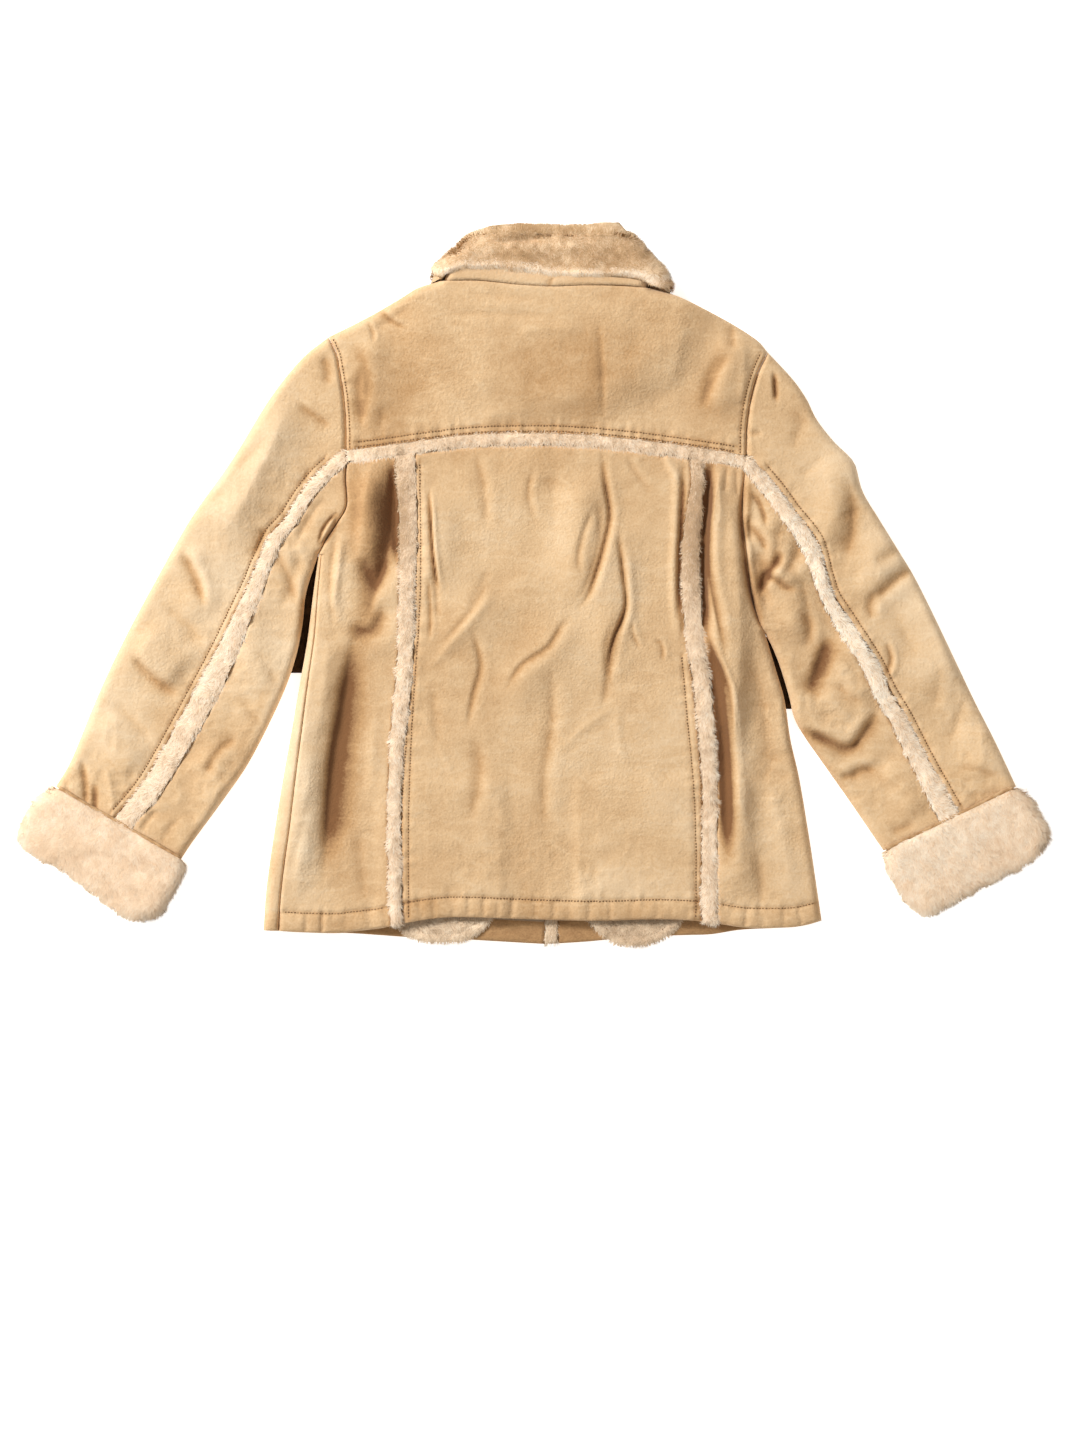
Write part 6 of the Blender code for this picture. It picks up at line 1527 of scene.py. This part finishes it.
def node_in(tree, kind, settings=(), **inputs):
    """A node of this kind in a tree: settings are its own fields, and inputs its sockets by name, each a
    value or the socket that feeds it."""
    made = tree.nodes.new(kind)
    for name, value in dict(settings).items():
        setattr(made, name, value)
    for name, value in inputs.items():
        label = name.replace("_", " ")
        socket = made.inputs[label if label in made.inputs else int(name[1:])]
        if isinstance(value, bpy.types.NodeSocket):
            tree.links.new(value, socket)
        else:
            socket.default_value = value
    return made


def attribute(tree, label):
    """The numbers of this name on the piece's points."""
    return node_in(tree, "ShaderNodeAttribute", {"attribute_name": label}).outputs["Fac"]


def own_place(tree):
    """The place on the piece, in its own coordinates."""
    return tree.nodes.new("ShaderNodeTexCoord").outputs["Object"]


def new_group(name, inputs, outputs):
    """An empty shader group with these float or vector sockets, and its input and output nodes."""
    group = bpy.data.node_groups.new(name, "ShaderNodeTree")
    for label, kind in inputs.items():
        group.interface.new_socket(label, in_out="INPUT", socket_type=kind)
    for label, kind in outputs.items():
        group.interface.new_socket(label, in_out="OUTPUT", socket_type=kind)
    return group, group.nodes.new("NodeGroupInput"), group.nodes.new("NodeGroupOutput")


def noise(tree, vector, scale, detail, roughness=0.55):
    """The value of a noise texture with this many waves to the metre."""
    made = node_in(tree, "ShaderNodeTexNoise", Vector=vector, Scale=scale, Detail=detail, Roughness=roughness)
    return made.outputs["Fac"]


def maths(tree, operation, a, b=0.0, c=0.0):
    """One sum of two or three values."""
    return node_in(tree, "ShaderNodeMath", {"operation": operation}, _0=a, _1=b, _2=c).outputs[0]


def nap_group():
    """Suede: a shade of clouds, brushed streaks, pale scuffs where a slow noise crosses its middle, and fine
    speckle, and the height of its pebbly grain, which is stronger in patches."""
    group, inside, outside = new_group("suede nap", {"Vector": "NodeSocketVector", "Nap": "NodeSocketFloat"},
                                       {"Shade": "NodeSocketFloat", "Grain": "NodeSocketFloat"})
    # Nap carries the panel's brushed nap with its painted light and shade
    vector, nap = inside.outputs["Vector"], inside.outputs["Nap"]
    streaked = node_in(group, "ShaderNodeMapping", Vector=vector, Rotation=(0, 0, 0.3), Scale=(0.4, 1, 1))
    clouds = noise(group, vector, 16, 4, 0.6)
    streaks = noise(group, streaked.outputs[0], 75, 4, 0.6)
    speckle = noise(group, vector, 520, 2, 0.6)
    shade = maths(group, "MULTIPLY_ADD", clouds, 0.22, maths(group, "MULTIPLY_ADD", nap, 1.0, -0.1))
    shade = maths(group, "MULTIPLY_ADD", streaks, 0.14, maths(group, "ADD", shade, -0.07))
    shade = maths(group, "MULTIPLY_ADD", speckle, 0.18, maths(group, "ADD", shade, -0.09))
    drift = maths(group, "ABSOLUTE", maths(group, "SUBTRACT", noise(group, streaked.outputs[0], 26, 3), 0.5))
    scuffs = node_in(group, "ShaderNodeMapRange", Value=drift, From_Min=0.0, From_Max=0.035, To_Min=0.05,
                     To_Max=0.0).outputs[0]
    shade = maths(group, "ADD", shade, scuffs)
    patches = node_in(group, "ShaderNodeMapRange", Value=noise(group, vector, 13, 2), From_Min=0.42,
                      From_Max=0.62, To_Min=0.35, To_Max=1.0).outputs[0]
    cells = node_in(group, "ShaderNodeTexVoronoi", {"feature": "SMOOTH_F1"}, Vector=vector, Scale=420.0,
                    Smoothness=0.9)
    pebbles = maths(group, "MULTIPLY", cells.outputs["Distance"], patches)
    crumple = noise(group, vector, 260, 4, 0.6)
    grain = maths(group, "MULTIPLY_ADD", pebbles, -0.5, maths(group, "MULTIPLY", crumple, 0.55))
    grain = maths(group, "MULTIPLY_ADD", speckle, 0.18, grain)
    shade = maths(group, "MULTIPLY_ADD", maths(group, "SUBTRACT", crumple, 0.5), 0.16, shade)
    group.links.new(shade, outside.inputs["Shade"])
    group.links.new(grain, outside.inputs["Grain"])
    return group


def fluff_group():
    """Pile: a shade of tufts and clouds, and the height of its small curls."""
    group, inside, outside = new_group("pile fluff", {"Vector": "NodeSocketVector"},
                                       {"Shade": "NodeSocketFloat", "Curls": "NodeSocketFloat"})
    vector = inside.outputs["Vector"]
    combed = node_in(group, "ShaderNodeMapping", Vector=vector, Scale=(1, 0.45, 1))
    tufts, clouds = noise(group, combed.outputs[0], 210, 4, 0.65), noise(group, vector, 26, 3)
    shade = maths(group, "MULTIPLY_ADD", tufts, 0.7, maths(group, "MULTIPLY_ADD", clouds, 0.5, -0.1))
    group.links.new(shade, outside.inputs["Shade"])
    group.links.new(tufts, outside.inputs["Curls"])
    return group


def new_material(name, roughness, sheen=0.0, sheen_roughness=0.5):
    """A material with a Principled shader that has these constants."""
    made = bpy.data.materials.new(name)
    made.use_nodes = True
    shader = made.node_tree.nodes["Principled BSDF"]
    shader.inputs["Roughness"].default_value = roughness
    shader.inputs["Specular IOR Level"].default_value = 0.12
    shader.inputs["Sheen Weight"].default_value = sheen
    shader.inputs["Sheen Roughness"].default_value = sheen_roughness
    return made, made.node_tree, shader


def blend_of(tree, factor, *stops):
    """A colour that goes through these stops, each a place from 0 to 1 and a linear colour."""
    ramp = node_in(tree, "ShaderNodeValToRGB", Fac=factor)
    elements = ramp.color_ramp.elements
    elements.remove(elements[1])
    elements[0].position, elements[0].color = stops[0][0], (*stops[0][1], 1)
    for place, colour in stops[1:]:
        elements.new(place).color = (*colour, 1)
    return ramp.outputs["Color"]


def paint(name, made, tree, shader, colour):
    """Gives a shader its colour, and keeps its material under this name."""
    tree.links.new(colour, shader.inputs["Base Color"])
    MATERIALS[name] = made


def bump(tree, shader, height, strength, distance):
    """Raises a surface by a height, in metres at full strength."""
    made = node_in(tree, "ShaderNodeBump", Height=height, Strength=strength, Distance=distance)
    tree.links.new(made.outputs["Normal"], shader.inputs["Normal"])


def suede_material(name, nap, *colours):
    """Suede: its nap attribute and the nap group give its colour, and the grain its relief."""
    made, tree, shader = new_material(name, 0.9, 0.12, 0.6)
    # the nap attribute holds the nap with its painted light and shade
    place, nap_with_painted_light = own_place(tree), attribute(tree, "nap")
    group = node_in(tree, "ShaderNodeGroup", {"node_tree": nap}, Vector=place, Nap=nap_with_painted_light)
    colour = blend_of(tree, group.outputs["Shade"], *colours)
    bump(tree, shader, group.outputs["Grain"], 0.8, 0.001)
    return made, tree, shader, colour


def make_materials():
    """Every finish of the jacket, by name."""
    nap, fluff = nap_group(), fluff_group()
    tan = ((0.0, (0.22, 0.10, 0.038)), (0.3, (0.55, 0.325, 0.15)), (0.52, (0.75, 0.515, 0.29)),
           (0.85, (0.93, 0.74, 0.51)))
    paint("suede", *suede_material("suede", nap, *tan))
    made, tree, shader, colour = suede_material("front inside and outside", nap, *tan)
    bare = attribute(tree, "lining")
    mixed = node_in(tree, "ShaderNodeMix", {"data_type": "RGBA"}, _0=bare, _6=colour, _7=(0.62, 0.50, 0.36, 1))
    paint("front", made, tree, shader, mixed.outputs[2])

    for name, colours in {
        "pile_body": ((0.2, (0.55, 0.39, 0.25)), (0.9, (0.90, 0.74, 0.54))),
        "cuff_body": ((0.2, (0.70, 0.50, 0.32)), (0.9, (0.90, 0.75, 0.56))),
        "collar_body": ((0.2, (0.54, 0.35, 0.18)), (0.9, (0.84, 0.64, 0.42))),
        "bag_body": ((0.2, (0.50, 0.36, 0.23)), (0.9, (0.82, 0.66, 0.48))),
    }.items():
        made, tree, shader = new_material(name.replace("_", " "), 1.0, 0.03, 0.7)
        group = node_in(tree, "ShaderNodeGroup", {"node_tree": fluff}, Vector=own_place(tree))
        paint(name, made, tree, shader, blend_of(tree, group.outputs["Shade"], *colours))
        bump(tree, shader, group.outputs["Curls"], 1.0, 0.0022)

    for name, colours in {
        "strip_pile": ((0.0, (0.54, 0.37, 0.22)), (0.45, (0.84, 0.665, 0.475)), (1.0, (0.99, 0.92, 0.79))),
        "cuff_pile": ((0.0, (0.72, 0.53, 0.35)), (0.45, (0.82, 0.64, 0.45)), (1.0, (0.94, 0.84, 0.69))),
        "collar_pile": ((0.0, (0.40, 0.24, 0.115)), (0.45, (0.57, 0.37, 0.195)), (1.0, (0.92, 0.73, 0.50))),
        "bag_pile": ((0.0, (0.46, 0.32, 0.20)), (0.45, (0.74, 0.57, 0.39)), (1.0, (0.93, 0.80, 0.62))),
    }.items():
        made, tree, shader = new_material(name.replace("_", " "), 1.0, 0.03, 0.6)
        place, reach, tuft_and_painted_light = own_place(tree), attribute(tree, "reach"), attribute(tree, "tuft_and_painted_light")
        group = node_in(tree, "ShaderNodeGroup", {"node_tree": fluff}, Vector=place)
        shade = maths(tree, "MULTIPLY_ADD", reach, 0.55, maths(tree, "MULTIPLY", tuft_and_painted_light, 0.5))
        shade = maths(tree, "MULTIPLY_ADD", group.outputs["Shade"], 0.35, maths(tree, "ADD", shade, -0.18))
        paint(name, made, tree, shader, blend_of(tree, shade, *colours))

    for name, colours, scale in (
        # thread darker than its real tan: partly thread, partly painted shade of the needle holes
        ("thread", ((0.3, (0.15, 0.075, 0.03)), (0.7, (0.34, 0.19, 0.09))), 900),
        # a near-black sheet in the gap under each arm: painted shadow
        ("underarm", ((0.3, (0.022, 0.010, 0.004)), (0.7, (0.06, 0.03, 0.013))), 140),
        ("edge", ((0.3, (0.36, 0.2, 0.09)), (0.7, (0.62, 0.41, 0.22))), 140),
    ):
        made, tree, shader = new_material(name, 0.85, 0.1)
        twist = noise(tree, own_place(tree), scale, 2)
        paint(name, made, tree, shader, blend_of(tree, twist, *colours))
        bump(tree, shader, twist, 0.5, 0.0003)


# ---- stage

def studio():
    """A plain pale floor that glows as a light table does, an even pale sky, a soft lamp at the upper left,
    a weaker one at the lower right, and the camera above."""
    made, _, shader = new_material("pale floor", 0.9)
    shader.inputs["Base Color"].default_value = (0.93, 0.93, 0.93, 1)
    shader.inputs["Emission Color"].default_value = (1, 1, 1, 1)
    shader.inputs["Emission Strength"].default_value = FLOOR_GLOW
    mesh = bpy.data.meshes.new("floor")
    mesh.from_pydata([(x * FLOOR_REACH, y * FLOOR_REACH, FLOOR_LEVEL) for x, y in
                      ((-1, -1), (1, -1), (1, 1), (-1, 1))], [], [(0, 1, 2, 3)])
    mesh.materials.append(made)
    floor = bpy.data.objects.new("floor", mesh)
    bpy.context.scene.collection.objects.link(floor)
    lamp("key lamp", KEY_PLACE, KEY_SIZE, KEY_POWER)
    lamp("fill lamp", FILL_PLACE, FILL_SIZE, FILL_POWER)
    world = bpy.data.worlds.new("sky")
    world.use_nodes = True
    background = world.node_tree.nodes["Background"]
    background.inputs["Color"].default_value = (1, 0.93, 0.84, 1)
    background.inputs["Strength"].default_value = SKY
    bpy.context.scene.world = world
    bpy.context.scene.view_settings.view_transform = "Standard"
    camera = bpy.data.objects.new("camera", bpy.data.cameras.new("camera"))
    camera.data.lens, camera.data.sensor_width = 100, 36
    camera.location = CAMERA_PLACE
    bpy.context.scene.collection.objects.link(camera)
    bpy.context.scene.camera = camera


def lamp(name, place, size, power):
    """A square soft lamp of this size in metres, turned towards the jacket's middle."""
    light = bpy.data.lights.new(name, "AREA")
    light.shape, light.size, light.energy = "SQUARE", size, power
    obj = bpy.data.objects.new(name, light)
    obj.location = place
    obj.rotation_euler = (-Vector(place)).to_track_quat("-Z", "Y").to_euler()
    bpy.context.scene.collection.objects.link(obj)


def declare_sheets():
    """Goes through every piece of cloth, its cut size, what it lies on and what is on it, and turns its width
    and length into metres; nothing more is done with them. Its size is that of the rectangle round the
    cut, in millimetres, and the share of it that the cut fills."""
    for obj, (width, length, share), rests_on, pieces in SHEETS:
        width, length = width * MM, length * MM


studio()
make_materials()
for side in SIDES:
    front_panel(side)
centre_strip()
pocket_bags()
back()
yoke()
for side in SIDES:
    sleeve(side)
    cuff(side)
collar()
declare_sheets()
